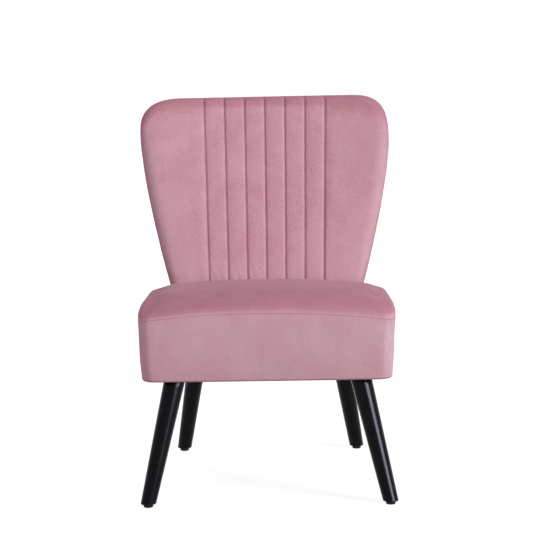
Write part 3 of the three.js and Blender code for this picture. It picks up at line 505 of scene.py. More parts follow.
def plastic():
    material, tree, shader = node_material("black_glide_plastic")
    place = add(tree, "ShaderNodeTexCoord").outputs["Object"]
    cast = textured(tree, place, 1500.0, 3.0)
    scuffs = textured(tree, place, 120.0, 4.0, 0.7)
    tree.links.new(ramp(tree, scuffs, [(0.4, (0.0025, 0.0025, 0.0027)), (0.8, (0.006, 0.006, 0.0065))]),
                   shader.inputs["Base Color"])
    tree.links.new(maths(tree, "MULTIPLY_ADD", scuffs, 0.3, 0.40), shader.inputs["Roughness"])
    shader.inputs["Specular IOR Level"].default_value = 0.12
    tree.links.new(bump(tree, cast, 0.15, 0.0002), shader.inputs["Normal"])
    return material


def timber(name, dark, pale, along):
    """Sawn wood: rings pulled long along the given axis, with fine pores."""
    material, tree, shader = node_material(name)
    place = add(tree, "ShaderNodeTexCoord").outputs["Object"]
    stretch = [1.0, 1.0, 1.0]
    stretch[along] = 0.06
    rings = textured(tree, place, 70.0, 5.0, 0.6, 1.2, stretch)
    pores = textured(tree, place, 900.0, 2.0, 0.6, 0.0, stretch)
    both = maths(tree, "ADD", maths(tree, "MULTIPLY", rings, 0.8), maths(tree, "MULTIPLY", pores, 0.25), clamp=True)
    tree.links.new(ramp(tree, both, [(0.3, dark), (0.7, pale)]), shader.inputs["Base Color"])
    tree.links.new(maths(tree, "MULTIPLY_ADD", pores, 0.2, 0.6), shader.inputs["Roughness"])
    tree.links.new(bump(tree, pores, 0.3, 0.0003), shader.inputs["Normal"])
    return material


def steel(name, colour, roughness):
    material, tree, shader = node_material(name)
    place = add(tree, "ShaderNodeTexCoord").outputs["Object"]
    stains = textured(tree, place, 160.0, 4.0, 0.6)
    darker = tuple(0.7 * c for c in colour)
    tree.links.new(ramp(tree, stains, [(0.35, darker), (0.65, colour)]), shader.inputs["Base Color"])
    shader.inputs["Metallic"].default_value = 1.0
    tree.links.new(maths(tree, "MULTIPLY_ADD", stains, 0.25, roughness), shader.inputs["Roughness"])
    tree.links.new(bump(tree, textured(tree, place, 1200.0), 0.1, 0.0002), shader.inputs["Normal"])
    return material


def fibre(name, dark, pale, scale, strength):
    """Felt, wadding or spun cloth: matted fibres."""
    material, tree, shader = node_material(name)
    place = add(tree, "ShaderNodeTexCoord").outputs["Object"]
    mat = textured(tree, place, scale, 5.0, 0.7, 1.5)
    cloud = textured(tree, place, scale * 0.1, 3.0)
    both = maths(tree, "ADD", maths(tree, "MULTIPLY", mat, 0.6), maths(tree, "MULTIPLY", cloud, 0.4))
    tree.links.new(ramp(tree, both, [(0.35, dark), (0.65, pale)]), shader.inputs["Base Color"])
    shader.inputs["Roughness"].default_value = 0.95
    shader.inputs["Specular IOR Level"].default_value = 0.15
    tree.links.new(bump(tree, mat, strength, 0.0006), shader.inputs["Normal"])
    return material


def woven(name, dark, pale, pitch):
    """Plain weave of the given pitch in metres, from two crossed waves."""
    material, tree, shader = node_material(name)
    place = add(tree, "ShaderNodeTexCoord").outputs["Object"]
    parts = add(tree, "ShaderNodeSeparateXYZ")
    tree.links.new(place, parts.inputs[0])
    turn = 2 * math.pi / pitch
    across = maths(tree, "SINE", maths(tree, "MULTIPLY", parts.outputs["X"], turn))
    up = maths(tree, "SINE", maths(tree, "MULTIPLY", parts.outputs["Z"], turn))
    weave = maths(tree, "MULTIPLY_ADD", maths(tree, "MULTIPLY", across, up), 0.5, 0.5)
    worn = maths(tree, "ADD", maths(tree, "MULTIPLY", weave, 0.7),
                 maths(tree, "MULTIPLY", textured(tree, place, 60.0, 3.0), 0.3))
    tree.links.new(ramp(tree, worn, [(0.2, dark), (0.8, pale)]), shader.inputs["Base Color"])
    shader.inputs["Roughness"].default_value = 0.85
    tree.links.new(bump(tree, weave, 0.5, 0.0005), shader.inputs["Normal"])
    return material


# The seat's velvet has a strong painted light from the right; the back's has a weak one and painted shade where it
# faces sideways
VELVET = velvet("dusty_pink_velvet_seat", 0.55, 0.12, 0.0)
VELVET_BACK = velvet("dusty_pink_velvet_back", 0.08, 0.08, -0.34)
THREAD = thread()
LACQUER = lacquer()
PLASTIC = plastic()
RAIL_WOOD_ACROSS = timber("rail_wood_across", (0.36, 0.22, 0.11), (0.62, 0.43, 0.25), 0)
RAIL_WOOD_BACK = timber("rail_wood_back", (0.36, 0.22, 0.11), (0.62, 0.43, 0.25), 1)
PLY = timber("birch_plywood", (0.50, 0.35, 0.20), (0.74, 0.58, 0.39), 2)
SPRING = steel("spring_steel", (0.20, 0.21, 0.23), 0.32)
ZINC = steel("zinc_steel", (0.62, 0.63, 0.64), 0.28)
FELT = fibre("grey_felt", (0.16, 0.15, 0.15), (0.36, 0.34, 0.33), 420.0, 0.6)
WADDING = fibre("white_wadding", (0.60, 0.59, 0.56), (0.82, 0.81, 0.78), 260.0, 0.8)
DUST_BLACK = fibre("black_dust_cloth", (0.008, 0.008, 0.009), (0.022, 0.022, 0.024), 900.0, 0.5)
WEBBING = woven("jute_webbing", (0.42, 0.36, 0.28), (0.70, 0.64, 0.54), 0.003)


def dress(piece, material, slot, *nodes):
    """Gives a piece its material and its body, and hides the solids that it stands for. The slot is not used."""
    piece.data.materials.clear()
    piece.data.materials.append(material)
    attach(piece, "root")
    if nodes:
        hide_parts(*nodes)
    return piece


# ---------------------------------------------------------------- seat

SEAT_NX, SEAT_NY = 72, 64
INNER_INSET = 112.0              # where the crown's rings give way to a square net
CROWN_SLACK = 2.4                # the crown starts this much flatter, before it is inflated
FRONT_SEAM_ANGLES = {-1: math.radians(12), 1: math.radians(38)}
SEAT_SEAM_DEPTH = 0.15


def seat_points(x, y, z):
    return np.stack([drawn_in(x, y), y + HALF_D, z], -1)


def smooth(share):
    share = np.clip(share, 0, 1)
    return share ** 2 * (3 - 2 * share)


def set_back(x, y, z):
    """How far the cover's front sits behind a flat one: at its corners, at its foot and in the roll above its seam."""
    inward = HALF_W - np.abs(x)
    corner = np.where(x < 0, *FRONT_FALL) * np.clip(1 - inward / FRONT_FALL_REACH, 0, 1) ** 2
    corner += np.where(x < 0, *CORNER_FALL) * np.clip(1 - inward / CORNER_FALL_REACH, 0, 1) ** 2
    foot = np.clip((CLEARANCE + BAND_TAPER_HEIGHT - z) / BAND_TAPER_HEIGHT, 0, 1) ** 2
    roll = smooth((z - sewn_height(x, y)) / FRONT_ROLL_HEIGHT) * np.clip(-y / HALF_D, 0, 1)
    return (corner * (1 - 0.35 * foot) + FRONT_TUCK * foot) * smooth((60.0 - HALF_D - y) / 60.0) + FRONT_ROLL * roll


def crown_ring(inset, radius, close):
    x, y = plan_ring(HALF_W - inset, HALF_D - inset, radius, SEAT_NX, SEAT_NY, close)
    z = crown_height(x, y, inset)
    return seat_points(x, y + set_back(x, y, z), z)


def crown_rings():
    """Rings of the crown from its inner net out to the seam."""
    steps = 10
    widest = CORNER + 0.8 * ROLL_WIDTH
    rings = []
    for step in range(1, steps):
        share = step / steps
        rings.append(crown_ring(mix(INNER_INSET, ROLL_WIDTH, share), widest * share ** 0.8, share))
    for angle in np.radians([90, 82, 74, 66, 58, 50, 42, 34, 27, 21, 15, 10, 5, 0]):
        inset = ROLL_WIDTH * (1 - math.cos(angle))
        rings.append(crown_ring(inset, CORNER + 0.8 * inset, 1.0))
    for share in (0.2, 0.42, 0.64, 0.84, 1.0):
        rings.append(band_ring(0, lambda x, y, t=share: mix(seam_height(x, y), sewn_height(x, y), t)))
    return rings


def crown_net():
    x, y = np.meshgrid(np.linspace(-1, 1, SEAT_NX + 1) * (HALF_W - INNER_INSET),
                       np.linspace(-1, 1, SEAT_NY + 1) * (HALF_D - INNER_INSET))
    x, y = x.ravel(), y.ravel()
    z = crown_height(x, y, INNER_INSET)
    return seat_points(x, y + set_back(x, y, z), z)


def band_ring(inset, height):
    x, y = plan_ring(HALF_W - inset, HALF_D - inset, CORNER, SEAT_NX, SEAT_NY, 1.0)
    z = height(x, y) if callable(height) else np.full_like(x, height)
    below = np.clip((sewn_height(x, y) - z) / 60.0, 0, 1)
    lean = np.where(x < 0, *BAND_LEAN) * below * (2 - below)
    hold = np.clip((11.0 - inset) / 5.0, 0, 1)
    return seat_points(x * (1 - lean / HALF_W), y + hold * set_back(x, y, z), z)


def band_rings():
    """Rings of the band from just below the seam to the edge that is tucked under the rails."""
    flange = CLEARANCE + DUST_CLOTH + GAP
    foot = flange - BAND_DROP
    edge_top = foot + BAND_EDGE
    level = CLEARANCE + BAND_TAPER_HEIGHT
    rings = [band_ring(0, lambda x, y, d=drop: sewn_height(x, y) - d) for drop in (1.2, 3.0)]
    for share in np.linspace(0, 1, 8)[1:]:
        rings.append(band_ring(0, lambda x, y, t=share: mix(sewn_height(x, y) - 3.0, level, t)))
    for height in np.linspace(level, edge_top, 16)[1:]:
        rings.append(band_ring(float(band_inset(height)), height))
    edge_inset = float(band_inset(edge_top))
    for angle in np.radians([22, 45, 68, 90]):
        inset = edge_inset + BAND_EDGE * (1 - math.cos(angle))
        rings.append(band_ring(inset, edge_top - BAND_EDGE * math.sin(angle)))
    for inset, height in ((11.5, foot + 0.8), (13.2, flange), (18.0, flange), (23.0, flange),
                          (FRAME_INSET + TUCK, flange)):
        rings.append(band_ring(inset, height))
    return rings


def crown_flattening(points):
    """How far the crown starts below its form: none at the seam, most in the middle."""
    x, y = points[:, 0] / HALF_W, (points[:, 1] - HALF_D) / HALF_D
    return CROWN_SLACK * np.clip(1 - x ** 4, 0, 1) * np.clip(1 - y ** 4, 0, 1)


def seat_surface():
    """The seat's whole cover, from the middle of the crown over the seam to the tucked edge."""
    net, crown, band = crown_net(), crown_rings(), band_rings()
    points = np.concatenate([net, *crown, *band])
    faces = pillow_faces(SEAT_NX, SEAT_NY, len(crown) + len(band))
    columns = 2 * (SEAT_NX + SEAT_NY)
    seam_start = len(net) + (len(crown) - 1) * columns
    index = np.arange(len(points))
    start = points.copy()
    roll_foot = seam_start - 5 * columns
    start[:roll_foot, 2] -= crown_flattening(points[:roll_foot])
    inset = np.minimum(HALF_W - np.abs(points[:, 0]), HALF_D - np.abs(points[:, 1] - HALF_D))
    freedom = smooth(inset / 26.0)[:, None]
    points = inflated(start, faces, index >= roll_foot, 3.0, 3.0, 0.001, freedom, rounds=8)
    return points, faces, seam_start, columns, len(net)


def seam_dip(distance, depth, reach):
    return depth * np.clip(1 - np.abs(distance) / reach, 0, 1) ** 1.5


def corner_seam_distance(points):
    """Distance in plan from the nearest of the band's four upright corner seams."""
    nearest = np.full(len(points), 1e9)
    for side in (-1, 1):
        for end in (-1, 1):
            angle = FRONT_SEAM_ANGLES[side] if end < 0 else math.radians(45)
            cx, cy = side * (HALF_W - CORNER), HALF_D + end * (HALF_D - CORNER)
            x = cx + side * CORNER * math.sin(angle)
            y = cy + end * CORNER * math.cos(angle)
            nearest = np.minimum(nearest, np.hypot(points[:, 0] - x, points[:, 1] - y))
    return nearest


def below_seam(points):
    return sewn_height(points[:, 0], points[:, 1] - HALF_D) - points[:, 2]


def seat_pieces():
    points, faces, seam_start, columns, net_count = seat_surface()
    crown_count = seam_start + columns
    crown_faces = faces[(faces < crown_count).all(1)]
    band_faces = faces[(faces >= seam_start).all(1)] - seam_start
    crown, crown_faces = refined(points[:crown_count], crown_faces)
    band, band_faces = refined(points[seam_start:], band_faces)

    normal = normals_of(crown, crown_faces)
    crown -= normal * seam_dip(below_seam(crown), SEAT_SEAM_DEPTH, 3.2)[:, None]
    uneven = 0.55 * unevenness(crown, 62.0, 1) + 0.25 * unevenness(crown, 26.0, 2)
    hold = np.clip(-below_seam(crown) / 10.0, 0, 1)
    crown += normal * (uneven * hold)[:, None]

    normal = normals_of(band, band_faces)
    dip = seam_dip(below_seam(band), SEAT_SEAM_DEPTH, 2.4)
    upright = np.clip((band[:, 2] - CLEARANCE - 14) / 8, 0, 1)
    corner = seam_dip(corner_seam_distance(band), 0.5, 4.0) * upright
    band -= normal * np.maximum(dip, corner)[:, None]
    uneven = 0.5 * unevenness(band, 70.0, 3) + 0.22 * unevenness(band, 24.0, 4)
    band += normal * (uneven * np.clip(below_seam(band) / 10.0, 0, 1) * upright)[:, None]
    rear_wall = band[:, 1] > SEAT_DEPTH - 6
    band[rear_wall, 1] = np.minimum(band[rear_wall, 1], SEAT_DEPTH - 0.1)

    cushion = closed_cushion(crown, crown_faces)
    dress(cushion, VELVET, "velvet", "seat_cover_top", "seat_foam")
    band[:, 2] -= np.clip(1 - below_seam(band) / 2, 0, 1) * 0.25
    band_piece = make_piece("seat_band", *shell(band, band_faces, COVER - 0.3))
    dress(band_piece, VELVET, "velvet", "seat_cover_band")
    return cushion, band_piece


def closed_cushion(crown, crown_faces):
    """Closes the crown below: a lip under the band, then the foam's arched underside."""
    loop = np.array(open_edge(crown_faces)[0])
    edge = crown[loop]
    centre = np.array([0.0, HALF_D])
    outward = edge[:, :2] - centre
    inset = 1 - 3.2 / np.linalg.norm(outward, axis=1, keepdims=True)
    lip = np.concatenate([centre + outward * inset, edge[:, 2:] - 1.0], 1)
    foot = np.concatenate([lip[:, :2], np.full((len(lip), 1), FOAM_BOTTOM)], 1)
    count = len(crown)
    rings = [lip, foot]
    for share in (0.9, 0.75, 0.55, 0.35, 0.15, 0.04):
        plan = centre + (foot[:, :2] - centre) * share
        z = FOAM_BOTTOM + spring_arch(plan[:, 0], plan[:, 1] - HALF_D)
        rings.append(np.concatenate([plan, z[:, None]], 1))
    columns = len(loop)
    made = [crown_faces.tolist()]
    before = loop
    for ring in range(len(rings)):
        after = count + ring * columns + np.arange(columns)
        made.append(np.stack([np.roll(before, -1), before, after, np.roll(after, -1)], -1).tolist())
        before = after
    made.append([before[::-1].tolist()])
    points = np.concatenate([crown, *rings])
    faces = [face for group in made for face in group]
    return make_piece("seat_cushion", points, faces)


# ---------------------------------------------------------------- back formulas

def back_plane(z):
    over = np.maximum(z - BACK_BOTTOM - RECLINE_START + RECLINE_BLEND, 0)
    bend = 2 * RECLINE_BLEND
    return BACK_FRONT + math.tan(RECLINE) * np.where(over < bend, over ** 2 / (2 * bend), over - RECLINE_BLEND)


def by_side(x, pair):
    return np.where(x < 0, *pair)


def back_half_width(z, x):
    share = np.clip((z - BACK_BOTTOM) / (BACK_HEIGHT - by_side(x, SHOULDER_RISE)), 0, 1)
    top = by_side(x, TOP_HALF)
    return top - (top - by_side(x, FOOT_HALF)) * (1 - share) ** FLARE_POWER


def hollow_share(z):
    return np.maximum(z - BACK_BOTTOM - HOLLOW_START, 0) / (BACK_HEIGHT - HOLLOW_START)


def hollow(x, z, depth):
    return depth * hollow_share(z) * (1 - np.minimum(np.abs(x) / back_half_width(z, x), 1) ** 2)


def front_face(x, z):
    return back_plane(z) + hollow(x, z, FRONT_HOLLOW)


def stuffed_face(x, z):
    """The front face of the cushion itself, which falls away towards the sides."""
    near_side = np.clip(1 - (back_half_width(z, x) - np.abs(x)) / by_side(x, SIDE_FALL_REACH), 0, 1)
    fall = mix(by_side(x, SIDE_FALL), by_side(x, SIDE_FALL_TOP), np.clip((z - 430.0) / 270.0, 0, 1))
    near_top = np.clip(1 - (BACK_TOP - z) / TOP_FALL_REACH, 0, 1)
    wing = np.clip((np.abs(x) - 120.0) / 60.0, 0, 1)
    return front_face(x, z) + fall * near_side ** 2 + by_side(x, TOP_FALL) * wing * near_top ** 2


def rear_face(x, z):
    return back_plane(z) + mix(FOOT_THICKNESS, TOP_THICKNESS, hollow_share(z)) + hollow(x, z, REAR_HOLLOW)


def channel_width(z):
    return mix(CHANNEL_FOOT, CHANNEL_TOP, hollow_share(z))


def rounded(x, z, inset):
    """Squeezes the outer corners of the outline into the rounded shoulders, and sets the top a little askew."""
    rise, reach = by_side(x, SHOULDER_RISE), by_side(x, SHOULDER_REACH)
    power = by_side(x, SHOULDER_POWER)
    shoulder, inner = BACK_TOP - rise, back_half_width(z, x) - reach
    rise, reach = rise - inset, reach - inset
    across, up = (np.abs(x) - inner) / reach, (z - shoulder) / rise
    in_corner = (across > 0) & (up > 0)
    a, b = np.where(in_corner, across, 1), np.where(in_corner, up, 1)
    k = np.maximum(a, b) / (a ** power + b ** power) ** (1 / power)
    x = np.where(in_corner, np.sign(x) * (inner + across * k * reach), x)
    z = np.where(in_corner, shoulder + up * k * rise, z)
    return x, z + (TOP_LIFT + TOP_TILT * x / TOP_HALF[0]) * np.clip((z - 500.0) / 300.0, 0, 1)


# Columns of the back: fine by each seam, as shares of a channel; the wings as shares of their width
CHANNEL_STOPS = [0.0, 0.027, 0.08, 0.19, 0.34, 0.5, 0.66, 0.80, 0.90, 0.95]
WING_STOPS = [0.0, 0.009, 0.035, 0.075, 0.14, 0.22, 0.31, 0.41, 0.51, 0.61, 0.71, 0.80, 0.88, 0.945]


def back_columns():
    """Each column as (channels from the middle, share of the wing outside them, side)."""
    half = CHANNELS / 2
    wing = [(half, share, 1) for share in WING_STOPS[1:]] + [(half, 1.0, 1)]
    middle = [(c - half + stop, 0.0, 0) for c in range(CHANNELS) for stop in CHANNEL_STOPS] + [(half, 0.0, 0)]
    left = [(-c, share, -1) for c, share, _ in reversed(wing)]
    return left + middle + wing


def column_x(columns, z, edge_inset):
    """x of every column at the heights z, before the shoulders are rounded."""
    channel = np.array([c for c, _, _ in columns])
    wing = np.array([w for _, w, _ in columns])
    side = np.array([s for _, _, s in columns])
    sewn = CHANNEL_MIDDLE + channel[None] * channel_width(z)[:, None]
    edge = side[None] * (back_half_width(z[:, None], side[None]) - edge_inset)
    return sewn + (edge - sewn) * wing[None]


def outline_grid(columns, rows, inset, top_z, bottom_z):
    z = mix(bottom_z, top_z, rows)
    x = column_x(columns, z, inset)
    zz = np.repeat(z[:, None], x.shape[1], 1)
    return rounded(x, zz, inset)


def edge_loop(grid):
    """A net's edge, in the order of loop_of."""
    return np.concatenate([grid[0, :-1], grid[:-1, -1], grid[-1, :0:-1], grid[:0:-1, 0]])


def seam_offset(x, z):
    """Distance to the nearest channel seam, positive to its right, and the place in channels from the middle."""
    width = channel_width(np.minimum(z, BACK_TOP))
    place = (x - CHANNEL_MIDDLE) / width
    nearest = np.round(np.clip(place, -CHANNELS / 2, CHANNELS / 2))
    return (place - nearest) * width, np.abs(place)


def channel_hollow(x, z, depth):
    """The valley between padded channels: they are flat in the middle and round off towards their seams."""
    offset, number = seam_offset(x, z)
    half = channel_width(np.minimum(z, BACK_TOP)) / 2
    inside = (1 - np.clip(np.abs(offset) / half, 0, 1)) ** CHANNEL_POWER
    return depth * np.where(number <= CHANNELS / 2, inside, np.clip(1 - np.abs(offset) / 16.0, 0, 1) ** 2.5)


def channel_seam(x, z):
    """The sewn line: the cloth slopes in gently from the left and turns out sharply to the right."""
    offset, number = seam_offset(x, z)
    left = np.clip(1 + offset / SEAM_LEFT_REACH, 0, 1) ** 1.1
    right = np.clip(1 - offset / SEAM_RIGHT_REACH, 0, 1) ** 1.8
    return np.where(number < CHANNELS / 2 + 0.15, SEAM_DEPTH * np.where(offset < 0, left, right), 0)


def gathers(x, z):
    """Small fanned wrinkles at the foot of the channels left of the middle."""
    width = channel_width(z)
    place = (x - CHANNEL_MIDDLE) / width + CHANNELS / 2
    across, up = place - np.floor(place), (z - 388.0) / 62.0
    strength = np.interp(place, [0, 0.1, 2.6, 3.0], [0.7, 1.0, 1.0, 0.0], left=0, right=0)
    waves = np.sin(2 * math.pi * (2.4 * (across + 0.5 * up) + 0.31 * np.floor(place)))
    edge = np.clip(4 * across, 0, 1) * np.clip(4 * (1 - across), 0, 1)
    return strength * edge * waves * np.clip(1 - up, 0, 1) ** 1.3 * (up > -0.4)


CHANNEL_DEPTH, CHANNEL_POWER = 2.8, 3.2
SEAM_DEPTH, SEAM_LEFT_REACH, SEAM_RIGHT_REACH = 2.9, 4.3, 4.2
GATHER_HEIGHT = 1.0
BACK_SLACK = 0.5
ROLL_ANGLES = [78, 66, 54, 42, 30, 20, 10, 0]


def back_surface(rows):
    """The back's front cover as a net with rings: over the roll, then along the sides to the rear seam."""
    columns = back_columns()
    nx, ny = len(columns) - 1, len(rows) - 1
    inner_x, inner_z = outline_grid(columns, rows, BACK_ROLL, BACK_TOP - BACK_ROLL, BACK_BOTTOM + BACK_ROLL)
    outer_x, outer_z = outline_grid(columns, rows, 0.0, BACK_TOP, BACK_BOTTOM)
    net = np.stack([inner_x, stuffed_face(inner_x, inner_z), inner_z], -1).reshape(-1, 3)
    ix, iz, ox, oz = (edge_loop(g) for g in (inner_x, inner_z, outer_x, outer_z))
    rings = []
    for degrees in ROLL_ANGLES:
        angle = math.radians(degrees)
        x, z = mix(ox, ix, 1 - math.cos(angle)), mix(oz, iz, 1 - math.cos(angle))
        rings.append(np.stack([x, stuffed_face(x, z) + BACK_ROLL * (1 - math.sin(angle)), z], -1))
    front = stuffed_face(ox, oz) + BACK_ROLL
    rear = rear_face(ox, oz) - REAR_ROLL - GAP
    for share in (0.16, 0.32, 0.48, 0.64, 0.8, 0.92, 1.0):
        rings.append(np.stack([ox, mix(front, rear, share), oz], -1))
    points = np.concatenate([net, *rings])
    return points, pillow_faces(nx, ny, len(rings)), nx, ny, len(rings)


def back_cushion():
    rows = np.linspace(0, 1, 93)
    points, faces, nx, ny, rings = back_surface(rows)
    normal = normals_of(points, faces)
    valley = channel_hollow(points[:, 0], points[:, 2], CHANNEL_DEPTH)
    points = points - normal * valley[:, None]
    offset, number = seam_offset(points[:, 0], points[:, 2])
    seams = (np.abs(offset) < 0.3) & (number < CHANNELS / 2 + 0.1)
    sides = np.arange(len(points)) >= len(points) - 8 * 2 * (nx + ny)
    free = np.clip(np.abs(offset) / 12.0, 0, 1) * ~sides
    start = points - normal * (BACK_SLACK * free)[:, None]
    points = inflated(start, faces, seams | sides, 1.4, 1.2, 0.0)
    points, faces = refined(points, faces)

    normal = normals_of(points, faces)
    x, z = points[:, 0], points[:, 2]
    offset, _ = seam_offset(x, z)
    front = np.clip(-normal[:, 1] * 1.6, 0.25, 1)
    uneven = 0.5 * unevenness(points, 66.0, 5) + 0.25 * unevenness(points, 27.0, 6)
    moved = uneven * np.clip(np.abs(offset) / 8, 0.15, 1) - channel_seam(x, z) * front
    points = points + normal * (moved + GATHER_HEIGHT * gathers(x, z))[:, None]
    behind_seat = (points[:, 2] < 392) & (points[:, 1] < SEAT_DEPTH + 12)
    points[behind_seat, 1] = np.maximum(points[behind_seat, 1], SEAT_DEPTH + 0.2)
    return close_back(points, faces)


def close_back(points, faces):
    """Closes the back's cushion behind: a turned edge, the foam's side and its flat rear."""
    loop = np.array(open_edge(faces)[0])
    edge = points[loop]
    centre = np.array([0.0, 0.0, mix(BACK_BOTTOM, BACK_TOP, 0.55)])
    outward = edge - centre
    outward[:, 1] = 0
    inward = -outward / np.linalg.norm(outward, axis=1, keepdims=True)
    lip = edge + inward * 2.6
    foam_rear = rear_face(lip[:, 0], lip[:, 2]) - 27.4
    deep = np.stack([lip[:, 0], foam_rear, lip[:, 2]], -1)
    rings = [lip, deep]
    for share in (0.86, 0.7, 0.5, 0.3, 0.12, 0.03):
        plan = centre + (deep - centre) * share
        plan[:, 1] = rear_face(plan[:, 0], plan[:, 2]) - 27.4
        rings.append(plan)
    columns, count = len(loop), len(points)
    made = faces.tolist()
    before = loop
    for ring in range(len(rings)):
        after = count + ring * columns + np.arange(columns)
        made += np.stack([np.roll(before, -1), before, after, np.roll(after, -1)], -1).tolist()
        before = after
    made.append(before[::-1].tolist())
    piece = make_piece("back_cushion", np.concatenate([points, *rings]), made)
    dress(piece, VELVET_BACK, "velvet", "back_front_cover", "back_foam")
    return piece


def back_panel():
    """The plain panel behind, rolled forward at its edge to meet the front cover."""
    columns = back_columns()[::2]
    if columns[-1][1] != 1.0:
        columns.append((CHANNELS / 2, 1.0, 1))
    rows = np.linspace(0, 1, 61)
    nx, ny = len(columns) - 1, len(rows) - 1
    inner_x, inner_z = outline_grid(columns, rows, REAR_ROLL, BACK_TOP - REAR_ROLL, BACK_BOTTOM + REAR_ROLL)
    outer_x, outer_z = outline_grid(columns, rows, 0.0, BACK_TOP, BACK_BOTTOM)
    net = np.stack([inner_x, rear_face(inner_x, inner_z), inner_z], -1).reshape(-1, 3)
    ix, iz, ox, oz = (edge_loop(g) for g in (inner_x, inner_z, outer_x, outer_z))
    rings = []
    for degrees in (72, 54, 36, 18, 0):
        angle = math.radians(degrees)
        x, z = mix(ox, ix, 1 - math.cos(angle)), mix(oz, iz, 1 - math.cos(angle))
        rings.append(np.stack([x, rear_face(x, z) - REAR_ROLL * (1 - math.sin(angle)), z], -1))
    faces = pillow_faces(nx, ny, len(rings))[:, ::-1]
    points, faces = refined(np.concatenate([net, *rings]), faces)
    normal = normals_of(points, faces)
    depth = rear_face(points[:, 0], points[:, 2]) - points[:, 1]
    edge = np.clip((depth - 3.0) / (REAR_ROLL - 3.0), 0, 1)
    uneven = 0.5 * unevenness(points, 80.0, 7) + 0.3 * unevenness(points, 34.0, 8)
    points = points + normal * ((uneven + 0.75) * (1 - edge) - 1.4 * edge ** 2)[:, None]
    piece = make_piece("back_panel", *shell(points, faces, COVER - 0.2))
    dress(piece, VELVET_BACK, "velvet", "back_rear_cover")
    return piece


# ---------------------------------------------------------------- stitches

def stitches(name, path, outward, length, pause, radius, lift):
    """Short stitches along a closed path of points, each arched out of the cloth, as one mesh."""
    closed = np.concatenate([path, path[:1]])
    out = np.concatenate([outward, outward[:1]])
    steps = np.linalg.norm(np.diff(closed, axis=0), axis=1)
    reached = np.concatenate([[0], np.cumsum(steps)])
    count = int(reached[-1] // (length + pause))
    pitch = reached[-1] / count
    stations = np.linspace(0, 1, 6)
    sides = 6
    points, faces = [], []
    for number in range(count):
        at = number * pitch + stations * length
        line = np.stack([np.interp(at, reached, closed[:, i]) for i in range(3)], -1)
        rise = np.stack([np.interp(at, reached, out[:, i]) for i in range(3)], -1)
        rise /= np.linalg.norm(rise, axis=1, keepdims=True)
        line += rise * (lift * np.sin(math.pi * stations) - 0.2)[:, None]
        along = np.gradient(line, axis=0)
        along /= np.linalg.norm(along, axis=1, keepdims=True)
        across = np.cross(along, rise)
        start = len(points)
        for i, station in enumerate(stations):
            thick = radius * (0.45 + 0.55 * math.sin(math.pi * station))
            for side in range(sides):
                turn = 2 * math.pi * side / sides
                points.append(line[i] + thick * (math.cos(turn) * across[i] + math.sin(turn) * rise[i]))
        for i in range(len(stations) - 1):
            for side in range(sides):
                a, b = start + i * sides + side, start + i * sides + (side + 1) % sides
                faces.append((a, b, b + sides, a + sides))
        faces.append(tuple(range(start + sides - 1, start - 1, -1)))
        faces.append(tuple(range(start + (len(stations) - 1) * sides, start + len(stations) * sides)))
    points = np.array(points)
    piece = make_piece(name, points, orient(points, faces))
    return dress(piece, THREAD, "velvet")


def seat_seam_stitches():
    x, y = plan_ring(HALF_W - 0.9, HALF_D - 0.9, CORNER - 0.9, 180, 160)
    path = seat_points(x, y, sewn_height(x, y) - 0.6)
    middle = np.array([0.0, HALF_D, 0.0])
    outward = path - middle
    outward[:, 2] = 0
    return stitches("seat_seam_stitches", path, outward, 2.4, 2.6, 0.36, 0.25)


def back_seam_stitches():
    """The hand-sewn ladder stitches that close the rear panel against the front cover."""
    side = np.linspace(0, 1, 240)
    z = mix(BACK_BOTTOM, BACK_TOP, side)
    right_x, right_z = rounded(back_half_width(z, 1.0), z, 0.0)
    left_x, left_z = rounded(-back_half_width(z, -1.0), z, 0.0)
    foot = np.linspace(-1, 1, 60)[1:-1] * FOOT_HALF[1]
    across = np.linspace(TOP_HALF[1] - SHOULDER_REACH[1], SHOULDER_REACH[0] - TOP_HALF[0], 90)[1:-1]
    top_x, top_z = rounded(across, np.full_like(across, BACK_TOP), 0.0)
    x = np.concatenate([right_x, top_x, left_x[::-1], foot])
    z = np.concatenate([right_z, top_z, left_z[::-1], np.full_like(foot, BACK_BOTTOM)])
    outward = np.stack([x, np.zeros_like(x), z - mix(BACK_BOTTOM, BACK_TOP, 0.5)], -1)
    path = np.stack([x, rear_face(x, z) - REAR_ROLL - GAP / 2, z], -1)
    path -= outward / np.linalg.norm(outward, axis=1, keepdims=True) * 0.35
    return stitches("back_seam_stitches", path, outward, 3.2, 3.0, 0.36, 0.2)


# ---------------------------------------------------------------- legs

LEG_SIDES = 64
LEG_TOP_RADIUS, LEG_FOOT_RADIUS = 22.1, 15.5
LEG_NECK = 1.3                   # how much thinner the part inside the seat is
LEG_SEAT = 12.0
GLIDE_HEIGHT, GLIDE_RADIUS = 7.0, 10.0
LEG_PLACES = {
    "front_left": (-249.5, 10.0, -189.5, 58.0),
    "front_right": (249.5, 10.0, 189.5, 58.0),
    "rear_left": (-198.4, 478.0, -155.0, 404.0),
    "rear_right": (199.0, 478.0, 155.0, 404.0),
}


def leg_line(name):
    foot_x, foot_y, entry_x, entry_y = LEG_PLACES[name]
    foot = np.array([foot_x, foot_y, 0.0])
    axis = np.array([entry_x, entry_y, CLEARANCE]) - foot
    axis /= np.linalg.norm(axis)
    length = (CLEARANCE + LEG_SEAT) / axis[2]
    across = np.cross(axis, [0.0, 0.0, 1.0])
    across /= np.linalg.norm(across)
    return foot, axis, length, across, np.cross(axis, across)


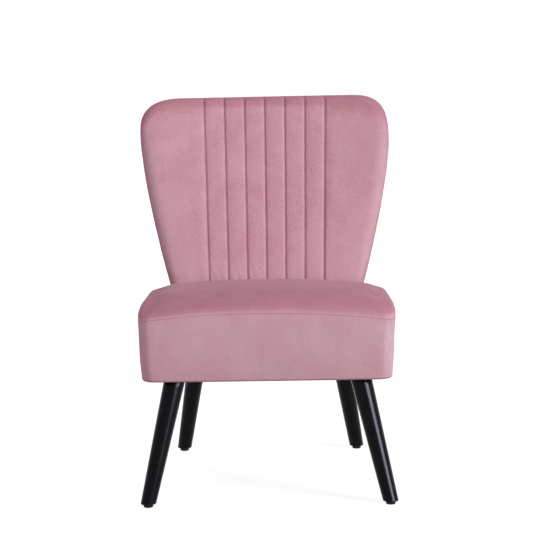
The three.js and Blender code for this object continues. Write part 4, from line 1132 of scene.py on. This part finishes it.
def leg(name):
    """A turned, tapered leg, cut level at the foot with its edge broken."""
    foot, axis, length, e1, e2 = leg_line(name)
    turn = np.arange(LEG_SIDES) * 2 * math.pi / LEG_SIDES
    spoke = np.cos(turn)[:, None] * e1 + np.sin(turn)[:, None] * e2
    slope = (LEG_TOP_RADIUS - LEG_FOOT_RADIUS) / length

    def generatrix_at(height, inset):
        """Distance along the axis where each side line reaches a height."""
        return (height - (LEG_FOOT_RADIUS - inset) * spoke[:, 2]) / (axis[2] + slope * spoke[:, 2])

    def ring(distance, inset=0.0):
        radius = LEG_FOOT_RADIUS + slope * distance - inset
        return foot + axis * distance[:, None] + spoke * radius[:, None]

    rings = [ring(generatrix_at(GLIDE_HEIGHT, 2.6), 2.6), ring(generatrix_at(GLIDE_HEIGHT, 1.1), 1.1)]
    for height, inset in ((GLIDE_HEIGHT + 0.35, 0.35), (GLIDE_HEIGHT + 1.2, 0.0)):
        rings.append(ring(generatrix_at(height, inset), inset))
    low, high = generatrix_at(GLIDE_HEIGHT + 2.4, 0.0), generatrix_at(CLEARANCE + 1.6, 0.0)
    for share in np.linspace(0, 1, 14):
        rings.append(ring(mix(low, high, share)))
    rings.append(ring(generatrix_at(CLEARANCE + 2.8, LEG_NECK), LEG_NECK))
    for distance, inset in ((length - 2.0, LEG_NECK), (length - 0.6, LEG_NECK + 0.4), (length, LEG_NECK + 1.5),
                            (length, 6.0)):
        rings.append(ring(np.full(LEG_SIDES, distance), inset))
    points = np.concatenate(rings)
    faces = tube_faces(LEG_SIDES, len(rings))[:, ::-1].tolist()
    last = (len(rings) - 1) * LEG_SIDES
    faces.append(list(range(LEG_SIDES))[::-1])
    faces.append(list(range(last, last + LEG_SIDES)))
    piece = make_piece("leg_piece_" + name, points, orient(points, faces))
    return dress(piece, LACQUER, "black_lacquer", "leg_" + name)


def orient(points, faces):
    """Turns all faces over if the closed body is inside out."""
    volume = 0.0
    for face in faces:
        a = points[face[0]]
        for i in range(1, len(face) - 1):
            volume += float(np.dot(a, np.cross(points[face[i]], points[face[i + 1]])))
    return faces if volume > 0 else [list(face)[::-1] for face in faces]


def glide(name):
    """A pressed-in plastic glide with a rounded foot and its stem."""
    foot, axis, _, _, _ = leg_line(name)
    middle = foot + axis * (GLIDE_HEIGHT / axis[2])
    profile = [(8.1, 0.0), (8.9, 0.15), (9.5, 0.7), (9.85, 2.0), (10.1, 4.6), (10.2, 6.0), (10.0, 6.5), (9.4, 6.7),
               (4.0, 6.7), (2.6, 7.2), (2.5, 14.0), (2.4, 20.0), (1.8, 21.0)]
    turn = np.arange(LEG_SIDES) * 2 * math.pi / LEG_SIDES
    rings = [np.stack([middle[0] + r * np.cos(turn), middle[1] + r * np.sin(turn), np.full(LEG_SIDES, z)], -1)
             for r, z in profile]
    points = np.concatenate(rings)
    faces = tube_faces(LEG_SIDES, len(rings))[:, ::-1].tolist()
    last = (len(rings) - 1) * LEG_SIDES
    faces.append(list(range(LEG_SIDES))[::-1])
    faces.append(list(range(last, last + LEG_SIDES)))
    piece = make_piece("glide_piece_" + name, points, orient(points, faces))
    return dress(piece, PLASTIC, "glide_plastic", "glide_" + name)


# ---------------------------------------------------------------- what the covers hide

def inside_frame(points, outline):
    return points


def dust_cloth():
    """Black spun cloth under the seat, open round each leg, with a slight sag."""
    half_w, half_d, radius = HALF_W - FRAME_INSET, HALF_D - FRAME_INSET, 13.5
    cell = 4.0
    nx, ny = int(2 * half_w / cell), int(2 * half_d / cell)
    x, y = np.meshgrid(np.linspace(-half_w, half_w, nx + 1), np.linspace(-half_d, half_d, ny + 1))
    for sx in (-1, 1):
        for sy in (-1, 1):
            dx, dy = x * sx - (half_w - radius), y * sy - (half_d - radius)
            corner = (dx > 0) & (dy > 0)
            far = np.maximum(np.hypot(dx, dy), 1e-9)
            pull = np.where(corner, np.maximum(dx, dy) / far, 1)
            x = np.where(corner, sx * (half_w - radius + dx * pull), x)
            y = np.where(corner, sy * (half_d - radius + dy * pull), y)
    x, y = x.ravel(), y.ravel()
    keep = np.ones(len(x), bool)
    for name in LEG_PLACES:
        _, _, entry_x, entry_y = LEG_PLACES[name]
        _, axis, _, _, _ = leg_line(name)
        hole = LEG_TOP_RADIUS / axis[2] + 0.8
        dx, dy = x - entry_x, y - (entry_y - HALF_D)
        far = np.maximum(np.hypot(dx, dy), 1e-9)
        near = far < hole + cell * 0.5
        rim = near & (far > hole - cell)
        x = np.where(rim, entry_x + dx / far * hole, x)
        y = np.where(rim, entry_y - HALF_D + dy / far * hole, y)
        keep &= ~(near & ~rim)
    edge = np.minimum(half_w - np.abs(x), half_d - np.abs(y))
    for name in LEG_PLACES:
        _, _, entry_x, entry_y = LEG_PLACES[name]
        edge = np.minimum(edge, np.hypot(x - entry_x, y - entry_y + HALF_D) - LEG_TOP_RADIUS - 1.6)
    sag = 2.6 * (1 - np.exp(-np.maximum(edge - 26, 0) / 60))
    z = CLEARANCE + DUST_CLOTH - sag
    points = np.stack([x, y + HALF_D, z], -1)
    points[:, 2] += 0.25 * unevenness(points, 34.0, 9) * np.clip(edge / 12, 0, 1)
    grid = np.arange((nx + 1) * (ny + 1)).reshape(ny + 1, nx + 1)
    faces = np.stack([grid[:-1, :-1], grid[:-1, 1:], grid[1:, 1:], grid[1:, :-1]], -1).reshape(-1, 4)
    faces = faces[keep[faces].all(1)]
    used = np.unique(faces)
    renumber = np.full(len(points), -1)
    renumber[used] = np.arange(len(used))
    points, faces = points[used], renumber[faces]
    piece = make_piece("dust_cloth", *shell(points, faces, 0.8))
    dress(piece, DUST_BLACK, "dust_cloth", "dust_cover")
    return piece


def staples():
    """Wire staples that hold the dust cloth to the rails."""
    half_w, half_d = HALF_W - FRAME_INSET - 8, HALF_D - FRAME_INSET - 8
    points, faces = [], []

    def staple(x, y, dx, dy):
        length, wire, height = 10.0, 0.6, CLEARANCE + DUST_CLOTH - 0.9
        ends = [(-length / 2, 3.0), (-length / 2, 0.4), (-length / 2 + 0.5, 0.0),
                (length / 2 - 0.5, 0.0), (length / 2, 0.4), (length / 2, 3.0)]
        start = len(points)
        for along, up in ends:
            for side in range(6):
                turn = math.pi / 3 * side
                out, lift = wire / 2 * math.cos(turn), wire / 2 * math.sin(turn)
                flat = abs(along) < length / 2 - 0.1
                a, u = (along, up + lift) if flat else (along + lift, up)
                points.append((x + dx * a - dy * out, y + dy * a + dx * out, height + u))
        for i in range(len(ends) - 1):
            for side in range(6):
                a, b = start + i * 6 + side, start + i * 6 + (side + 1) % 6
                faces.append((a, b, b + 6, a + 6))
        faces.append(tuple(range(start + 5, start - 1, -1)))
        faces.append(tuple(range(start + 30, start + 36)))

    for x in np.linspace(-half_w + 24, half_w - 24, 11):
        for y in (HALF_D - half_d, HALF_D + half_d):
            staple(x, y, 1, 0)
    for y in np.linspace(HALF_D - half_d + 24, HALF_D + half_d - 24, 10):
        for x in (-half_w, half_w):
            staple(x, y, 0, 1)
    piece = make_piece("dust_cloth_staples", np.array(points), faces)
    return dress(piece, ZINC, "zinc_steel")


def felt_pad():
    """Felt over the springs, arched with them."""
    def ring(inset, height):
        x, y = plan_ring(HALF_W - inset, HALF_D - inset, 12.0, 36, 32)
        return np.stack([x, y + HALF_D, height + spring_arch(x, y)], -1)

    insets = [FRAME_INSET, 20.0, 30.0, 45.0, 65.0, 90.0, 115.0]
    x, y = np.meshgrid(np.linspace(-1, 1, 37) * (HALF_W - 140), np.linspace(-1, 1, 33) * (HALF_D - 140))
    x, y = x.ravel(), y.ravel()
    top = PAD_BOTTOM + 4.0
    net = np.stack([x, y + HALF_D, top + spring_arch(x, y)], -1)
    points = np.concatenate([net, *[ring(i, top) for i in reversed(insets)]])
    points[:, 2] += 0.12 * unevenness(points, 12.0, 10) - 0.12
    piece = make_piece("seat_felt", *shell(points, pillow_faces(36, 32, len(insets)), 3.6))
    dress(piece, FELT, "felt", "seat_spring_pad")
    return piece


def side_wadding():
    """Wadding between the rails and the band."""
    heights = np.linspace(274.0, 345.0, 12)
    outer = [band_plain_ring(7.4 + float(band_inset(h)) * 0.6, CORNER - 5.0, h) for h in heights]
    inner = [band_plain_ring(FRAME_INSET - 0.5, 13.5, h) for h in heights[::-1]]
    points = np.concatenate(outer + inner + outer[:1])
    columns = len(outer[0])
    count = 2 * len(heights)
    faces = tube_faces(columns, count).tolist()
    last, first = (count - 1) * columns + np.arange(columns), np.arange(columns)
    faces += np.stack([last, first, np.roll(first, -1), np.roll(last, -1)], -1).tolist()
    points = points[:count * columns]
    piece = make_piece("seat_wadding", points, orient(points, faces))
    dress(piece, WADDING, "felt", "seat_side_padding")
    return piece


def band_plain_ring(inset, radius, height):
    x, y = plan_ring(HALF_W - inset, HALF_D - inset, radius, 60, 54)
    if inset < FRAME_INSET - 1:
        z = np.full_like(x, height)
        return seat_points(x, y + 0.75 * set_back(x, y, z), z)
    return np.stack([x, y + HALF_D, np.full_like(x, height)], -1)


def webbing(number):
    """A band of woven webbing across the back's uprights."""
    low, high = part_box("back_webbing_%d" % number)
    bottom, top = low.z / MM, high.z / MM
    nx, ny = 48, 8
    z = np.repeat(np.linspace(bottom, top, ny + 1)[:, None], nx + 1, 1)
    side = np.linspace(-1, 1, nx + 1)[None]
    reach = np.full_like(z, float(back_half_width((bottom + top) / 2, 1.0)) - 26.5)
    x = side * reach
    y = rear_face(x, z) - COVER - 2 * GAP - 22.0 - GAP - 1.4
    y += 0.15 * np.sin(np.linspace(0, 40, nx + 1))[None]
    points = np.stack([x, y, z], -1).reshape(-1, 3)
    piece = make_piece("webbing_band_%d" % number, *shell(points, pillow_faces(nx, ny, 0), 1.2))
    dress(piece, WEBBING, "webbing", "back_webbing_%d" % number)
    return piece


def finish_node(node, material):
    for slot in frame["nodes"][node].material_slots:
        slot.material = material


def carried_over_nodes():
    finish_node("seat_front_rail", RAIL_WOOD_ACROSS)
    finish_node("seat_rear_rail", RAIL_WOOD_ACROSS)
    finish_node("seat_left_rail", RAIL_WOOD_BACK)
    finish_node("seat_right_rail", RAIL_WOOD_BACK)
    for name in LEG_PLACES:
        finish_node("corner_block_" + name, RAIL_WOOD_ACROSS)
        finish_node("hanger_bolt_" + name, ZINC)
        finish_node("hanger_nut_" + name, ZINC)
    for number in range(1, 6):
        finish_node("seat_spring_%d" % number, SPRING)
    for name in ("left_upright", "right_upright", "top_rail", "lumbar_rail", "foot_rail"):
        finish_node("back_" + name, PLY)
    for level in ("lower", "upper"):
        for side in ("left", "right"):
            finish_node("back_bolt_%s_%s" % (level, side), ZINC)
            finish_node("back_tee_nut_%s_%s" % (level, side), ZINC)


# ---------------------------------------------------------------- the pieces

seat_pieces()
seat_seam_stitches()
back_cushion()
back_panel()
back_seam_stitches()
for leg_name in LEG_PLACES:
    leg(leg_name)
    glide(leg_name)
dust_cloth()
staples()
felt_pad()
side_wadding()
for band_number in range(1, 5):
    webbing(band_number)
carried_over_nodes()


# ---------------------------------------------------------------- stage, light and camera

def lit_stage(name, diffuse, near_glow, far_glow):
    """White where the camera or a reflection sees it, and still darker in the object's shadow."""
    material, tree, shader = node_material(name)
    path = add(tree, "ShaderNodeLightPath")
    seen = maths(tree, "ADD", path.outputs["Is Camera Ray"], path.outputs["Is Glossy Ray"])
    seen = maths(tree, "ADD", seen, path.outputs["Is Transmission Ray"], clamp=True)
    place = add(tree, "ShaderNodeTexCoord").outputs["Object"]
    cloud = textured(tree, place, 1.5, 2.0)
    low, high = diffuse * 0.985, diffuse
    tree.links.new(ramp(tree, cloud, [(0.3, (low,) * 3), (0.7, (high,) * 3)]), shader.inputs["Base Color"])
    shader.inputs["Roughness"].default_value = 0.95
    shader.inputs["Specular IOR Level"].default_value = 0.0
    shader.inputs["Emission Color"].default_value = (1, 1, 1, 1)
    length = add(tree, "ShaderNodeVectorMath", operation="LENGTH")
    tree.links.new(place, length.inputs[0])
    far = add(tree, "ShaderNodeMapRange")
    far.inputs["From Min"].default_value, far.inputs["From Max"].default_value = 0.5, 2.6
    far.inputs["To Min"].default_value, far.inputs["To Max"].default_value = near_glow, far_glow
    tree.links.new(length.outputs["Value"], far.inputs["Value"])
    tree.links.new(maths(tree, "MULTIPLY", seen, far.outputs["Result"]), shader.inputs["Emission Strength"])
    return material


def floor():
    mesh = bpy.data.meshes.new("floor")
    edge, steps = 14.0, 24
    axis = np.linspace(-edge, edge, steps + 1)
    x, y = np.meshgrid(axis, axis + 2.0)
    points = np.stack([x.ravel(), y.ravel(), np.zeros(x.size)], -1)
    mesh.from_pydata(points.tolist(), [], pillow_faces(steps, steps, 0).tolist())
    piece = bpy.data.objects.new("floor", mesh)
    bpy.context.scene.collection.objects.link(piece)
    mesh.materials.append(lit_stage("pale_floor", 0.30, 0.84, 0.98))


def world(ambient):
    scene_world = bpy.data.worlds.new("studio")
    bpy.context.scene.world = scene_world
    scene_world.use_nodes = True
    tree = scene_world.node_tree
    background = tree.nodes["Background"]
    path = add(tree, "ShaderNodeLightPath")
    seen = maths(tree, "ADD", path.outputs["Is Camera Ray"], path.outputs["Is Glossy Ray"])
    seen = maths(tree, "ADD", seen, path.outputs["Is Transmission Ray"], clamp=True)
    background.inputs["Color"].default_value = (1, 1, 1, 1)
    tree.links.new(maths(tree, "MULTIPLY_ADD", seen, 1.0 - ambient, ambient), background.inputs["Strength"])


def area_light(name, place, target, size, power, colour=(1, 1, 1), mirrored=False):
    data = bpy.data.lights.new(name, "AREA")
    data.shape = "RECTANGLE"
    data.size, data.size_y = size
    data.energy = power
    data.color = colour
    light = bpy.data.objects.new(name, data)
    light.location = place
    light.visible_glossy, light.visible_diffuse = mirrored, not mirrored
    light.rotation_mode = "QUATERNION"
    light.rotation_quaternion = (Vector(target) - Vector(place)).to_track_quat("-Z", "Y")
    bpy.context.scene.collection.objects.link(light)


def camera():
    yaw, pitch, roll = 0.0067, 0.1507, 0.0158
    forward = Vector((-math.sin(yaw) * math.cos(pitch), math.cos(yaw) * math.cos(pitch), -math.sin(pitch)))
    level = Vector((math.cos(yaw), math.sin(yaw), 0.0))
    upright = level.cross(forward)
    right = math.cos(roll) * level - math.sin(roll) * upright
    up = math.sin(roll) * level + math.cos(roll) * upright
    data = bpy.data.cameras.new("camera")
    data.sensor_width, data.lens = 36.0, 120.90
    data.clip_start, data.clip_end = 0.05, 60.0
    eye = bpy.data.objects.new("camera", data)
    place = Vector((0.0325, -3.8963, 1.0326))
    matrix = Matrix.Identity(4)
    for row in range(3):
        matrix[row][0], matrix[row][1], matrix[row][2], matrix[row][3] = right[row], up[row], -forward[row], place[row]
    eye.matrix_world = matrix
    bpy.context.scene.collection.objects.link(eye)
    bpy.context.scene.camera = eye


floor()
world(0.34)
area_light("key", (6.0, -3.9, 2.35), (0.0, 0.0, 0.45), (1.8, 3.4), 520.0)
area_light("key_mirrored", (2.8, -2.85, 1.2), (0.0, 0.0, 0.35), (2.0, 2.6), 560.0, mirrored=True)
area_light("fill", (-3.1, -3.1, 1.5), (0.0, 0.0, 0.45), (2.0, 2.0), 63.0, (1.0, 0.95, 0.90))
area_light("top", (0.0, 0.2, 3.2), (0.0, 0.1, 0.3), (2.4, 2.4), 20.0)
area_light("rear", (-1.2, 4.2, 1.9), (0.0, 0.2, 0.5), (2.4, 2.4), 50.0)
camera()

bpy.context.scene.view_settings.view_transform = "Standard"
